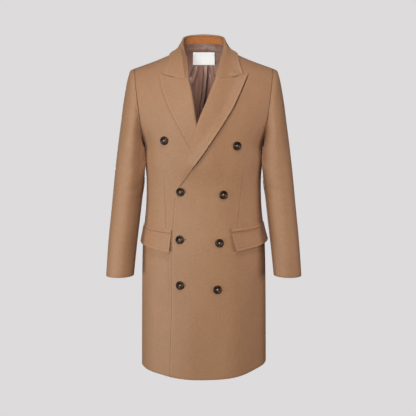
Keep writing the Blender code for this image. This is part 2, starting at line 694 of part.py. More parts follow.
def collar_fall(name):
    """The collar that shows: over its fold and down on to the coat, to the lapels."""
    middle = [collar_profile(at) for at in collar_frames()]
    right_end, left_end = gorge_profile(RIGHT), gorge_profile(LEFT)
    to_right = towards_gorge(middle[0], right_end)
    to_left = towards_gorge(middle[-1], left_end)
    columns = [right_end, *reversed(to_right), *middle, *to_left, left_end]
    rows = len(columns[0]) - 1
    return wall(name, len(columns) - 1, rows, lambda column, row: columns[column][row])


def collar_stand(name):
    """The band inside the collar, from the neck seam up to the lip of the fold."""
    frames = collar_frames()
    below_fold = COLLAR_RADIUS + COLLAR_LIP + 4 * GAP

    def place(column, row):
        at = frames[column]
        top = at["fold"] - at["crest"] * below_fold - at["outward"] * COLLAR_RADIUS
        foot = at["seam"] - (top - at["seam"]).normalized() * STAND_DROP
        share = row / STAND_ROWS
        way = at["seam_way"].lerp(at["outward"], share).normalized()
        return foot.lerp(top, share), way * WALL

    return wall(name, len(frames) - 1, STAND_ROWS, place, "collar_band")


def flap_place(side, share, z, inner_x, height):
    """A point on the front at this share of the way from inner_x round to the flap's end."""
    width = body["half_width"](z)
    turn = mix(math.asin(inner_x / width), FLAP_END * math.pi / 2, share)
    return on_front(side, side * width * math.sin(turn), z, height)


def pocket_flap(name, side):
    flap = FLAPS[side]

    def place(column, row):
        share, down = column / FLAP_COLUMNS, row / FLAP_ROWS
        top_z = mix(flap.inner_top_z, flap.outer_top_z, share)
        z = mix(top_z, mix(flap.inner_low_z, flap.outer_low_z, share), down)
        proud = mix(flap.proud_inner, flap.proud_outer, share) * down ** FLAP_BEND
        inner_x = mix(flap.inner_top_x, flap.inner_low_x, down)
        point, outward = flap_place(side, share, z, inner_x, LIE + WALL + proud)
        return point, outward * -WALL

    return wall(name, FLAP_COLUMNS, FLAP_ROWS, place)


def pocket_welt(name, side):
    """The narrow folded strip along the pocket's mouth, just above the flap."""
    flap = FLAPS[side]

    def place(column, row):
        share = column / FLAP_COLUMNS
        z = mix(flap.inner_top_z, flap.outer_top_z, share) + 2 * GAP + WELT_HEIGHT * row
        point, outward = flap_place(side, share, z, flap.inner_top_x, LIE + LINING_WALL)
        return point, outward * -LINING_WALL

    return wall(name, FLAP_COLUMNS, 1, place)


def on_lining(x, z, depth):
    """A point this far inside the outer face of the lining, and the way out of the cloth."""
    depth += WALL + LINING_LIE
    for wrinkle in LINING_WRINKLES:
        fade = 1 - ramp(z, wrinkle.bottom_z + WRINKLE_FADE, wrinkle.bottom_z)
        depth += wrinkle.height * fade * fold_height(*wrinkle[:5], x, z)
    return on_back(x, z, -depth)


def lining_back(name):
    middle = len(LINING_SHARES) - 1
    rows = BACK_ROWS_LOW + ROWS_HIGH - LINING_FIRST_ROW

    def place(column, row):
        share = LINING_SHARES[abs(column - middle)]
        drop = LINING_TOP_DROP if row == rows else 0
        side = LEFT if column > middle else RIGHT
        point, outward = on_lining(*back_spot(side, share, LINING_FIRST_ROW + row - drop), 0)
        return point, outward * -LINING_WALL

    return wall(name, 2 * middle, rows, place, "lining_satin")


def neck_label(name):
    """The woven label sewn inside the back of the neck, left blank."""

    def place(column, row):
        x = mix(-LABEL_HALF_WIDTH, LABEL_HALF_WIDTH, column / LABEL_COLUMNS)
        z = mix(LABEL_LOW_Z, LABEL_TOP_Z, row / LABEL_ROWS)
        point, outward = on_lining(x, z, LINING_WALL + LIE)
        return point, outward * -LINING_WALL

    return wall(name, LABEL_COLUMNS, LABEL_ROWS, place, "label_cloth")


def button(row):
    """A turned horn button with a raised rim, its back just clear of the cloth."""
    data = bpy.data.meshes.new(row.name)
    points = [(across * BUTTON_RADIUS, 0, up * BUTTON_RADIUS) for across, up in BUTTON_PROFILE]
    data.from_pydata(points, [(i, i + 1) for i in range(len(points) - 1)], [])
    made = new_object(row.name, data, "dark_horn")
    turned = made.modifiers.new("turned", "SCREW")
    turned.steps = turned.render_steps = BUTTON_STEPS
    turned.use_merge_vertices = True
    turned.merge_threshold = 0.0001
    seat, east, west, above, below = (
        on_front(row.front, row.x + across * BUTTON_SPAN, row.z + up * BUTTON_SPAN, 0)[0]
        for across, up in ((0, 0), (1, 0), (-1, 0), (0, 1), (0, -1))
    )
    outward = (east - west).cross(above - below).normalized()
    made.location = seat + outward * BUTTON_SEAT
    made.rotation_mode = "QUATERNION"
    made.rotation_quaternion = outward.to_track_quat("Z", "Y")
    return made


for old in list(bpy.data.objects):
    bpy.data.objects.remove(old, do_unlink=True)
coat = bpy.data.collections.new("double_breasted_overcoat")
bpy.context.scene.collection.children.link(coat)
carrier = bpy.data.objects.new("shoulders", None)
coat.objects.link(carrier)

seam_angle = math.radians(SLEEVE_SEAM)
for side_name, side in (("left", LEFT), ("right", RIGHT)):
    front_panel(f"front_{side_name}", side)
    back_panel(f"back_{side_name}", side)
    sleeve_piece(f"sleeve_top_{side_name}", side, -seam_angle, seam_angle, TOP_SLEEVE_COLUMNS)
    sleeve_piece(
        f"sleeve_under_{side_name}", side, seam_angle, 2 * math.pi - seam_angle, UNDER_SLEEVE_COLUMNS
    )
    lapel(f"lapel_{side_name}", side)
    pocket_flap(f"pocket_flap_{side_name}", side)
    pocket_welt(f"pocket_welt_{side_name}", side)
collar_fall("collar_fall")
collar_stand("collar_stand")
lining_back("lining_back")
neck_label("neck_label")
for row in BUTTONS:
    button(row)
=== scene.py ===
import math

import bmesh
import bpy
import numpy as np
from mathutils import Matrix, Vector
from mathutils.bvhtree import BVHTree
from mathutils.kdtree import KDTree


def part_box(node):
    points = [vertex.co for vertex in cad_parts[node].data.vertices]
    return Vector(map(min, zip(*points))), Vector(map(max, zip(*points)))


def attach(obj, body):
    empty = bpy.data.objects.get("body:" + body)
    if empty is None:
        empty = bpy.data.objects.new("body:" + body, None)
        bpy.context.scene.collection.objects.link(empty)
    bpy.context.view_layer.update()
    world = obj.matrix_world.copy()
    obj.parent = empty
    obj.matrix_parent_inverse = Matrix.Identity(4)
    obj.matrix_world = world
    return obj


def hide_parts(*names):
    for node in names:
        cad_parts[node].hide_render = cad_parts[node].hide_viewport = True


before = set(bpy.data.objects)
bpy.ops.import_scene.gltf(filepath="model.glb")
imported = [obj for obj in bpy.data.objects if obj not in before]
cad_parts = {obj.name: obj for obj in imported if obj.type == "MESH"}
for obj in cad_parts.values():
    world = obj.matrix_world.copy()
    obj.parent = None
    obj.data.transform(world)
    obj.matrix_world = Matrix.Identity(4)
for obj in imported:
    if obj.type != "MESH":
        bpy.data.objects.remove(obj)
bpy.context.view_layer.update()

# The studio: pale paper all round and a floor of the same paper well below the hem. Soft lamps stand
# in front, above, behind and low on both sides, and two small ones light the inside of the neck. The
# camera is at chest height and looks down a little, as in the photograph.
CAMERA_PLACE, CAMERA_TILT = (0.0135, -2.8, -0.15), 7.2326    # metres, and degrees down from level
LENS, FILM_WIDTH = 75.7, 36    # mm
scene = bpy.context.scene
scene.view_settings.view_transform = "Standard"
camera = bpy.data.objects.new("camera", bpy.data.cameras.new("camera"))
camera.location = CAMERA_PLACE
camera.rotation_euler = math.radians(90 - CAMERA_TILT), 0, 0
camera.data.lens = LENS
camera.data.sensor_width = FILM_WIDTH
scene.collection.objects.link(camera)
scene.camera = camera

PAPER = 0.723, 0.708, 0.716, 1
PAPER_GLOW = 0.04    # the share of its brightness with which the paper lights the coat
world = bpy.data.worlds.new("paper_all_round")
world.use_nodes = True
paper_nodes, paper_links = world.node_tree.nodes, world.node_tree.links
background = paper_nodes["Background"]
background.inputs["Color"].default_value = PAPER
seen = paper_nodes.new("ShaderNodeLightPath").outputs["Is Camera Ray"]
glow = paper_nodes.new("ShaderNodeMapRange")
glow.inputs["To Min"].default_value = PAPER_GLOW
paper_links.new(seen, glow.inputs["Value"])
paper_links.new(glow.outputs["Result"], background.inputs["Strength"])
scene.world = world


def lamp(name, place, aim, size, power, colour=(1, 1, 1)):
    """A soft square lamp, this wide in metres and this strong in watts, turned towards its aim."""
    light = bpy.data.lights.new(name, "AREA")
    light.size = size
    light.energy = power
    light.color = colour
    stand = bpy.data.objects.new(name, light)
    stand.location = place
    stand.rotation_euler = (Vector(aim) - Vector(place)).to_track_quat("-Z", "Y").to_euler()
    scene.collection.objects.link(stand)


COAT_MIDDLE = 0, 0, -0.4
lamp("front_lamp", (-0.75, -2.6, 0.1), COAT_MIDDLE, 0.5, 40.5, (0.97, 1, 0.97))
lamp("top_lamp", (0.05, -1.2, 1.8), COAT_MIDDLE, 0.5, 23.5)
lamp("left_lamp", (-1.95, -1.15, -0.95), (0, 0, -0.5), 0.6, 21, (0.94, 1, 1))
lamp("right_lamp", (2.2, -0.75, -0.60), COAT_MIDDLE, 0.7, 17.5, (1, 0.87, 0.75))
lamp("rear_lamp", (-0.5, 2.8, -0.2), COAT_MIDDLE, 0.9, 70)
lamp("neck_lamp", (-0.010, -0.035, -0.065), (0.004, 0.08, -0.080), 0.04, 0.074)
lamp("lining_lamp", (-0.060, 0.012, -0.090), (0.020, 0.09, -0.085), 0.03, 0.046)

FLOOR_Z, FLOOR_RADIUS = -1.30, 6
paper = bmesh.new()
bmesh.ops.create_circle(paper, cap_ends=True, segments=64, radius=FLOOR_RADIUS)
bmesh.ops.translate(paper, verts=paper.verts, vec=(0, 0, FLOOR_Z))
floor = bpy.data.objects.new("floor", bpy.data.meshes.new("floor"))
paper.to_mesh(floor.data)
paper.free()
floor_paper = bpy.data.materials.new("floor_paper")
floor_paper.use_nodes = True
floor_shader = floor_paper.node_tree.nodes["Principled BSDF"]
floor_shader.inputs["Base Color"].default_value = 0, 0, 0, 1
floor_shader.inputs["Specular IOR Level"].default_value = 0
floor_shader.inputs["Emission Color"].default_value = PAPER
floor_shader.inputs["Emission Strength"].default_value = 1
floor.data.materials.append(floor_paper)
floor.visible_diffuse = floor.visible_glossy = False
scene.collection.objects.link(floor)


# The two fronts and the two halves of the back are cut from one camel wool melton, a felted cloth
# about 2 mm thick with a short brushed nap. They are sewn at the sides, shoulders and middle back. Each
# front has a dart pressed into it above the pocket, and the inside is lined up to the facings.
class Tone:
    """A value or colour that changes over a surface: a socket among a finish's nodes."""

    def __init__(self, tree, socket=None):
        self.tree, self.socket = tree, socket

    def node(self, kind, settings=(), sockets=(), out=0):
        """An output of a new node with these settings, and these values or tones in its sockets."""
        made = self.tree.nodes.new(kind)
        for name, value in dict(settings).items():
            setattr(made, name, value)
        for name, value in dict(sockets).items():
            if isinstance(value, Tone):
                self.tree.links.new(value.socket, made.inputs[name])
            else:
                made.inputs[name].default_value = value
        return Tone(self.tree, made.outputs[out])

    def reckon(self, how, first, second=0):
        return self.node("ShaderNodeMath", {"operation": how}, {0: first, 1: second})

    def __add__(self, other):
        return self.reckon("ADD", self, other)

    __radd__ = __add__

    def __sub__(self, other):
        return self.reckon("SUBTRACT", self, other)

    def __rsub__(self, other):
        return self.reckon("SUBTRACT", other, self)

    def __mul__(self, other):
        return self.reckon("MULTIPLY", self, other)

    __rmul__ = __mul__

    def __abs__(self):
        return self.reckon("ABSOLUTE", self)

    def rise(self, low, high):
        """0 below low, 1 above high and a soft step between; it falls where low is above high."""
        ends = {1: low, 2: high, 3: 0, 4: 1}
        return self.node("ShaderNodeMapRange", {"interpolation_type": "SMOOTHSTEP"}, {0: self, **ends})

    def blend(self, colour, other):
        """The first colour where this is 0, the other where it is 1."""
        ends = {6: colour, 7: other}
        pair = {end: tone if isinstance(tone, Tone) else (*tone, 1) for end, tone in ends.items()}
        return self.node("ShaderNodeMix", {"data_type": "RGBA"}, {0: self, **pair}, 2)

    def noise(self, scale, detail=2, stretch=(1, 1, 1)):
        """Noise read at this place, with about this many cells to the metre, drawn out by stretch."""
        cells = [scale / longer for longer in stretch]
        place = self.node("ShaderNodeMapping", {}, {"Vector": self, "Scale": cells})
        return self.node("ShaderNodeTexNoise", {}, {"Vector": place, "Scale": 1, "Detail": detail})

    def kept(self, name):
        """The value that a cloth keeps on its points under this name, or 0 where it keeps none."""
        return self.node("ShaderNodeAttribute", {"attribute_name": name}, out="Fac")

    def feed(self, shader, name):
        self.tree.links.new(self.socket, shader.inputs[name])

    def emboss(self, shader, depth=0.001):
        """Raises the surface by this tone times depth, in metres."""
        bump = self.node("ShaderNodeBump", {}, {"Strength": 1, "Distance": depth, "Height": self})
        bump.feed(shader, "Normal")


def finish(name, **constants):
    """A new material, its shader with these constant values, the place on the object and its axes."""
    material = bpy.data.materials.new(name)
    material.use_nodes = True
    shader = material.node_tree.nodes["Principled BSDF"]
    for socket, value in constants.items():
        shader.inputs[socket.replace("_", " ")].default_value = value
    place = Tone(material.node_tree).node("ShaderNodeTexCoord", out="Object")
    axes = [place.node("ShaderNodeSeparateXYZ", {}, {0: place}, axis) for axis in "XYZ"]
    return material, shader, place, axes


EDGE_REACH = 0.05    # how far in from a turned edge or a seam its distance is kept on the cloth
EDGE_ROW = 0.0085    # from a turned edge to its row of stitches
LINE_SHADE = 0.6    # how strongly the painted shade along stitch rows, seams and darts shows
LINE_SHADE_TINT = 0.52, 0.42, 0.37    # what that painted shade leaves of the wool's darker tone
EDGE_HIGHLIGHT_GAIN, EDGE_HIGHLIGHT_SHARE = 1.16, 0.2    # painted highlight on a turned edge's roll: its gain over light wool, and how strongly it shows
DARTS = (    # x and z of the top, x and z of the foot
    (0.124, -0.362, 0.1035, -0.553), (-0.125, -0.375, -0.117, -0.554),
)
DART_FADE = 0.06    # the length over which a dart runs out at its top


def wool_finish(name, shade, light):
    """Melton with a flecked nap, painted shade along stitch rows, seams and darts, painted highlight on
    turned edges.
    """
    wool, shader, place, (x, y, z) = finish(
        name, Roughness=0.62, Specular_IOR_Level=0.55,
        Sheen_Weight=0.12, Sheen_Roughness=0.5, Sheen_Tint=(1.0, 0.92, 0.84, 1),
    )
    nap = place.noise(1500, 3, (1, 1, 5))
    fleck = place.noise(620, 2)
    heather = place.noise(210, 3)
    cloud = place.noise(26, 3)
    tint = (0.36 * nap + 0.28 * fleck + 0.26 * heather + 0.10 * cloud).rise(0.32, 0.68)
    from_edge = EDGE_REACH - place.kept("edge_near")
    from_seam = EDGE_REACH - place.kept("seam_shade_near")
    # Stitch rows and seams sink in the bump; line gathers the painted shade drawn along them and along
    # the darts.
    row = abs(from_edge - EDGE_ROW).rise(0.0018, 0)
    roll = from_edge.rise(EDGE_ROW, 0.004)
    # Painted highlight on the roll between a turned edge and its row of stitches.
    edge_highlight = from_edge.rise(0.0025, 0.0050) * from_edge.rise(0.0110, 0.0070)
    ditch_and_shade = from_seam.rise(0.0030, 0.0004)
    height = 0.16 * nap + 0.06 * fleck - 0.20 * row + 0.12 * roll - 0.30 * ditch_and_shade
    line = 0.22 * row + 0.9 * ditch_and_shade
    front = y.rise(0.0, -0.02)
    for top_x, top_z, low_x, low_z in DARTS:
        slope = (low_x - top_x) / (low_z - top_z)
        across = abs(x - (z - top_z) * slope - top_x)
        length = z.rise(top_z, top_z - DART_FADE) * z.rise(low_z - 0.002, low_z + 0.002) * front
        height = height - 0.40 * across.rise(0.0016, 0) * length
        line = line + 0.9 * across.rise(0.0014, 0) * length
    edge_highlight_colour = [EDGE_HIGHLIGHT_GAIN * channel for channel in light]
    line_shade_colour = [share * channel for share, channel in zip(LINE_SHADE_TINT, shade)]
    colour = (EDGE_HIGHLIGHT_SHARE * edge_highlight).blend(tint.blend(shade, light), edge_highlight_colour)
    # Painted shade along those lines, over the wool's own flecked colour.
    (LINE_SHADE * line).blend(colour, line_shade_colour).feed(shader, "Base Color")
    height.emboss(shader)
    return wool


def satin_finish(name, shade, light):
    """Satin: long floats of bright thread along the cloth, crossed by a fine weft, with painted shade in
    its folds.
    """
    satin, shader, place, _ = finish(name, Sheen_Weight=0.1)
    thread = place.noise(2600, 2, (1, 1, 14))
    weft = place.noise(1800, 1, (8, 8, 1))
    water = place.noise(30, 2, (1, 1, 4))
    colour = (0.5 * thread + 0.5 * water).rise(0.3, 0.7).blend(shade, light)
    # Painted shade where the cloth keeps fold_shade.
    in_fold = [0.12 * channel for channel in shade]
    place.kept("fold_shade").blend(colour, in_fold).feed(shader, "Base Color")
    (0.34 + 0.16 * thread).feed(shader, "Roughness")
    (0.05 * thread + 0.03 * weft).emboss(shader)
    return satin


camel_wool = wool_finish("camel_wool", (0.330, 0.160, 0.077), (0.430, 0.222, 0.116))
lining_satin = satin_finish("lining_satin", (0.165, 0.081, 0.058), (0.240, 0.124, 0.090))

RIM_ANGLE = math.radians(52)    # cloth that turns more sharply than this is the cut rim of a wall
RIM_ROUND = 0.0007    # how far in from its edges a rim is rounded
FLAT_PAIR, SQUARE_PAIR = math.radians(40), math.radians(70)    # triangles within these make one face
SETTLE_PASSES = 4    # rounds in which the smooth wall is drawn back to the solid's corners


def wall_islands(sheet):
    """The faces of a wall in groups that meet without a rim between them."""
    loose = set(sheet.faces)
    while loose:
        group, rest = [], [loose.pop()]
        while rest:
            face = rest.pop()
            group.append(face)
            for edge in face.edges:
                for other in edge.link_faces:
                    if other in loose and edge.calc_face_angle(0) < RIM_ANGLE:
                        loose.remove(other)
                        rest.append(other)
        yield group


def points_of(mesh):
    flat = np.empty(3 * len(mesh.vertices))
    mesh.vertices.foreach_get("co", flat)
    return flat.reshape(-1, 3)


def move_points(mesh, points):
    mesh.vertices.foreach_set("co", points.ravel())
    mesh.update()


def cloth_wall(node, levels, outward=None, faced=None):
    """The node's wall, smooth through every corner of the solid. Its inner side is lined, if outward
    tells which side that is, apart from where faced says that wool is turned in."""
    sheet = bmesh.new()
    sheet.from_mesh(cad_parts[node].data)
    bmesh.ops.remove_doubles(sheet, verts=sheet.verts, dist=1e-5)
    bmesh.ops.join_triangles(
        sheet, faces=sheet.faces, angle_face_threshold=FLAT_PAIR, angle_shape_threshold=SQUARE_PAIR
    )
    sharp = sheet.edges.layers.float.new("crease_edge")
    for edge in sheet.edges:
        edge[sharp] = edge.calc_face_angle(0) > RIM_ANGLE
    for face in sheet.faces:
        face.smooth = True
        face.material_index = 0
    if outward:
        for group in wall_islands(sheet):
            facing = whole = 0
            for face in group:
                facing += face.normal.dot(Vector(outward(face.calc_center_median()))) * face.calc_area()
                whole += face.calc_area()
            if facing < -0.5 * whole:
                for face in group:
                    face.material_index = int(not faced(face.calc_center_median()))
    cage = bpy.data.meshes.new(node + "_cloth")
    sheet.to_mesh(cage)
    sheet.free()
    form = bpy.data.objects.new(node + "_form", cage)
    scene.collection.objects.link(form)
    smooth = form.modifiers.new("smooth", "SUBSURF")
    smooth.levels = smooth.render_levels = levels

    def smoothed():
        return form.evaluated_get(bpy.context.evaluated_depsgraph_get())

    corners = points_of(cage)
    for _ in range(SETTLE_PASSES):
        settled = points_of(smoothed().to_mesh())[: len(corners)]
        smoothed().to_mesh_clear()
        move_points(cage, points_of(cage) + corners - settled)
    cloth = bpy.data.meshes.new_from_object(smoothed())
    cloth.name = node + "_cloth"
    bpy.data.objects.remove(form)
    return cloth


def surface_of(*meshes):
    points, faces = [], []
    for mesh in meshes:
        first = len(points)
        points.extend(vertex.co.copy() for vertex in mesh.vertices)
        faces.extend([first + corner for corner in polygon.vertices] for polygon in mesh.polygons)
    return BVHTree.FromPolygons(points, faces)


def press(meshes, outward, creases):
    """Soft troughs and ridges: each is a line of points on the cloth, a width and a height, out of
    the cloth or, where negative, into it; it fades towards both ends. Gives the last cloth's lifts."""
    for mesh in meshes:
        points = points_of(mesh)
        lift = np.zeros(len(points))
        for line, width, height in creases:
            line = np.array(line)
            steps = np.linalg.norm(np.diff(line, axis=0), axis=1)
            ends = np.concatenate(([0], np.cumsum(steps))) / steps.sum()
            nearest, along = np.full(len(points), 9.0), np.zeros(len(points))
            for start, end, low, high in zip(line, line[1:], ends, ends[1:]):
                run = end - start
                share = np.clip((points - start) @ run / (run @ run), 0, 1)
                far = np.linalg.norm(points - start - share[:, None] * run, axis=1)
                closer = far < nearest
                nearest[closer] = far[closer]
                along[closer] = (low + share * (high - low))[closer]
            lift += height * np.exp(-((nearest / width) ** 2)) * np.sin(np.pi * along) ** 0.8
        move_points(mesh, points + lift[:, None] * outward(points))
    return lift


def unit(ways):
    return ways / np.linalg.norm(ways, axis=-1, keepdims=True)


BODY_WIDTH, BODY_DEPTH = 0.19, 0.125    # from the middle of the body to its side and to its front


def body_outward(points):
    """Unit vectors out of the body of the coat, which is about an ellipse."""
    return unit(np.array(points) * (1 / BODY_WIDTH**2, 1 / BODY_DEPTH**2, 0))


def dress(node, cloth, finishes, flat, area, rests_on):
    """The finished piece, its rim softly rounded. It stands for its CAD node. The width, length
    and area to which its cloth was cut are not used."""
    piece = bpy.data.objects.new(node + "_cloth", cloth)
    for material in finishes:
        cloth.materials.append(material)
    rim = piece.modifiers.new("soft_rim", "BEVEL")
    rim.limit_method = "ANGLE"
    rim.angle_limit = RIM_ANGLE
    rim.width = RIM_ROUND
    rim.segments = 2
    rim.profile = 0.5
    scene.collection.objects.link(piece)
    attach(piece, "root")
    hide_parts(node)


HANDS = {"left": 1, "right": -1}    # the wearer's sides, each with the sign of its x
HEM_FACING_Z, NECK_FACING_Z = -0.985, -0.09    # wool is turned in below the one and above the other
FRONT_FACING_X = {"left": 0.01, "right": -0.03}    # and from each front's edge as far as this
fronts = {
    side: cloth_wall(
        "front_" + side, 2, body_outward,
        lambda p: p.z < HEM_FACING_Z or p.z > NECK_FACING_Z or hand * (p.x - FRONT_FACING_X[side]) < 0,
    )
    for side, hand in HANDS.items()
}
backs = {
    side: cloth_wall("back_" + side, 2, body_outward, lambda p: p.z < HEM_FACING_Z) for side in HANDS
}
body = surface_of(*fronts.values(), *backs.values())
FRONT, BACK = -1, 1
CLEAR_Y = 0.5    # well clear of the coat, before or behind it


def seen_from(face, surface, x, z):
    """The place that shows from the front or the back at this x and z, and the way out of the cloth."""
    where, out, _, _ = surface.ray_cast((x, face * CLEAR_Y, z), (0, -face, 0))
    return where, out


def on_body(face, *spots):
    return [tuple(seen_from(face, body, x, z)[0]) for x, z in spots]


body_creases = [
    (on_body(FRONT, (0.176, -0.250), (0.165, -0.330), (0.158, -0.420)), 0.014, -0.0012),
    (on_body(FRONT, (-0.178, -0.240), (-0.168, -0.330), (-0.163, -0.400)), 0.013, -0.0010),
    (on_body(FRONT, (0.186, -0.180), (0.170, -0.225), (0.140, -0.255)), 0.012, -0.0009),
    (on_body(FRONT, (-0.184, -0.190), (-0.166, -0.230), (-0.146, -0.250)), 0.011, -0.0008),
    (on_body(FRONT, (0.150, -0.500), (0.165, -0.525), (0.174, -0.545)), 0.012, -0.0010),
    (on_body(FRONT, (-0.140, -0.505), (-0.160, -0.520), (-0.172, -0.532)), 0.011, -0.0009),
    (on_body(FRONT, (-0.082, -0.640), (-0.098, -0.800), (-0.100, -1.020)), 0.009, -0.0010),
    (on_body(FRONT, (0.060, -0.800), (0.050, -0.900), (0.052, -1.020)), 0.018, -0.0010),
    (on_body(BACK, (0.170, -0.230), (0.130, -0.330), (0.110, -0.440)), 0.018, -0.0020),
    (on_body(BACK, (-0.172, -0.220), (-0.136, -0.310), (-0.118, -0.400)), 0.017, -0.0018),
    (on_body(BACK, (0.150, -0.455), (0.080, -0.475), (0.030, -0.470)), 0.015, -0.0017),
    (on_body(BACK, (-0.155, -0.470), (-0.095, -0.492), (-0.040, -0.480)), 0.013, -0.0015),
    (on_body(BACK, (0.140, -0.515), (0.095, -0.530), (0.060, -0.522)), 0.012, -0.0011),
    (on_body(BACK, (-0.060, -0.045), (-0.010, -0.060), (0.050, -0.050)), 0.012, -0.0012),
    (on_body(BACK, (0.030, -0.620), (0.032, -0.800), (0.036, -1.010)), 0.020, -0.0016),
    (on_body(BACK, (-0.026, -0.660), (-0.030, -0.820), (-0.028, -1.000)), 0.018, -0.0012),
]
overlap = on_body(FRONT, (-0.100, -0.560), (-0.1035, -0.700), (-0.1050, -0.850), (-0.112, -1.025))
body_creases.append((overlap, 0.0040, -0.0026))
rolled_edge = on_body(FRONT, (-0.085, -0.560), (-0.0895, -0.700), (-0.0920, -0.850), (-0.0990, -1.025))
body_creases.append((rolled_edge, 0.0065, 0.0022))
DART_RUN = 0.05    # how far a dart's crease runs on below its foot, under the pocket flap
for top_x, top_z, low_x, low_z in DARTS:
    for aside, width, height in ((0, 0.004, -0.0005), (0.008, 0.005, 0.0005)):
        fold = (top_x + aside, top_z), (low_x + aside, low_z), (low_x + aside, low_z - DART_RUN)
        body_creases.append((on_body(FRONT, *fold), width, height))
press([*fronts.values(), *backs.values()], body_outward, body_creases)
SEAM_GAP, SEWN_GAP = 0.0009, 0.00006    # edges nearer than the one are sewn, down to the other


def sew_together(*cloths, sewn_gap=SEWN_GAP):
    """Draws the edges along the seam of two pieces together, so that no light comes through it."""
    for cloth, other in (cloths, cloths[::-1]):
        across = surface_of(other)
        points = points_of(cloth)
        for point in points:
            near, _, _, gap = across.find_nearest(point, SEAM_GAP)
            if near and gap > sewn_gap:
                share = 0.5 if cloth is cloths[0] else 1 - sewn_gap / gap
                point += (np.array(near) - point) * share
        move_points(cloth, points)


for side in HANDS:
    sew_together(fronts[side], backs[side])
sew_together(backs["left"], backs["right"])
LINED_WOOL = camel_wool, lining_satin
for side, flat, area in (("left", (0.42, 1.06), 0.324), ("right", (0.40, 1.06), 0.293)):
    dress("front_" + side, fronts[side], LINED_WOOL, flat, area, ["back_" + side])
for side in HANDS:
    rests_on = ["front_" + side]
    dress("back_" + side, backs[side], LINED_WOOL, (0.31, 1.08), 0.259, rests_on)


# The left front's edge is turned in and held by a row of stitches in camel thread. Three buttonholes
# are cut along it beside their buttons, each a slit of painted shadow worked round with close purl
# stitches.
def tree_of(spots):
    """Finds the nearest of these points."""
    tree = KDTree(len(spots))
    for index, spot in enumerate(spots):
        tree.insert(spot, index)
    tree.balance()
    return tree


def keep_nearness(cloth, name, spots):
    """Keeps on the cloth how near each point is to these spots, from 0 at EDGE_REACH away."""
    tree = tree_of(spots)
    near = [max(0, EDGE_REACH - tree.find(vertex.co)[2]) for vertex in cloth.vertices]
    cloth.attributes.new(name, "FLOAT", "POINT").data.foreach_set("value", near)


def turned_edges(cloth, finished):
    """Keeps on the cloth how near each point is to an edge that is turned and stitched, and gives that
    edge's points."""
    sheet = bmesh.new()
    sheet.from_mesh(cloth)
    rim = {
        end.index: end.co.copy()
        for edge in sheet.edges
        if edge.calc_face_angle(0) > RIM_ANGLE and all(finished(end.co) for end in edge.verts)
        for end in edge.verts
    }
    sheet.free()
    keep_nearness(cloth, "edge_near", rim.values())
    return rim.values()


def stitch_places(cloth, inset, outward, apart):
    """Places along the row that is set in from a cloth's turned edges, on the side that faces
    outward: where each stitch is, which way it runs, and which way is out of the cloth."""
    sheet = bmesh.new()
    sheet.from_mesh(cloth)
    near = sheet.verts.layers.float["edge_near"]
    level = EDGE_REACH - inset
    spots, links = {}, {}
    for face in sheet.faces:
        cut = []
        for edge in face.edges:
            start, end = edge.verts
            if (start[near] > level) != (end[near] > level):
                cut.append(edge)
        if len(cut) == 2 and face.normal.dot(Vector(outward(face.calc_center_median()))) > 0.2:
            for edge, other in (cut, cut[::-1]):
                start, end = edge.verts
                share = (level - start[near]) / (end[near] - start[near])
                spots[edge] = start.co.lerp(end.co, share), face.normal.copy()
                links.setdefault(edge, []).append(other)
    places = []
    while links:
        edge = min(links, key=lambda end: (len(links[end]), end.index))
        row = []
        while edge:
            row.append(spots[edge])
            edge = next((other for other in links.pop(edge) if other in links), None)
        ahead = apart / 2
        for (here, out), (there, _) in zip(row, row[1:]):
            step = (there - here).length
            while ahead < step:
                places.append((here.lerp(there, ahead / step), (there - here).normalized(), out))
                ahead += apart
            ahead -= step
    sheet.free()
    return places


def sew(name, places, thread, bead):
    """One piece of many short stitches, each a slim bead of thread, half sunk in the cloth."""
    seam = bmesh.new()
    for where, along, out in places:
        across = out.cross(along).normalized()
        place = Matrix((along, across, along.cross(across))).transposed().to_4x4()
        place.translation = where
        shape = place @ Matrix.Diagonal((*bead, 1))
        bmesh.ops.create_icosphere(seam, subdivisions=1, radius=1, matrix=shape)
    for face in seam.faces:
        face.smooth = True
    mesh = bpy.data.meshes.new(name)
    seam.to_mesh(mesh)
    seam.free()
    mesh.materials.append(thread)
    piece = bpy.data.objects.new(name, mesh)
    scene.collection.objects.link(piece)
    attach(piece, "root")


def thread_finish(name, shade, light):
    thread, shader, place, _ = finish(name, Roughness=0.6, Sheen_Weight=0.1)
    twist = place.noise(2600, 1)
    twist.rise(0.3, 0.7).blend(shade, light).feed(shader, "Base Color")
    (0.10 * twist).emboss(shader)
    return thread


camel_thread = thread_finish("camel_thread", (0.26, 0.130, 0.064), (0.34, 0.178, 0.092))
STITCH_APART, STITCH = 0.0048, (0.0011, 0.00030, 0.00022)    # between stitches; half a stitch's sizes
FRONT_EDGE = (    # height below the neck and x of the left front's edge, from the lapel to the hem
    (0.455, -0.0865), (0.530, -0.0935), (0.620, -0.0980), (0.775, -0.1000), (1.040, -0.1080),
)
FRONT_EDGE_TOP, FRONT_EDGE_NEAR = -0.45, 0.012    # the row's highest z, and what counts as that edge


def on_front_edge(p):
    edge_x = np.interp(-p.z, *zip(*FRONT_EDGE))
    return p.z < FRONT_EDGE_TOP and p.y < 0 and p.x < edge_x + FRONT_EDGE_NEAR


front_rim = turned_edges(fronts["left"], on_front_edge)
front_row = stitch_places(fronts["left"], EDGE_ROW, body_outward, STITCH_APART)
sew("front_edge_stitches", front_row, camel_thread, STITCH)
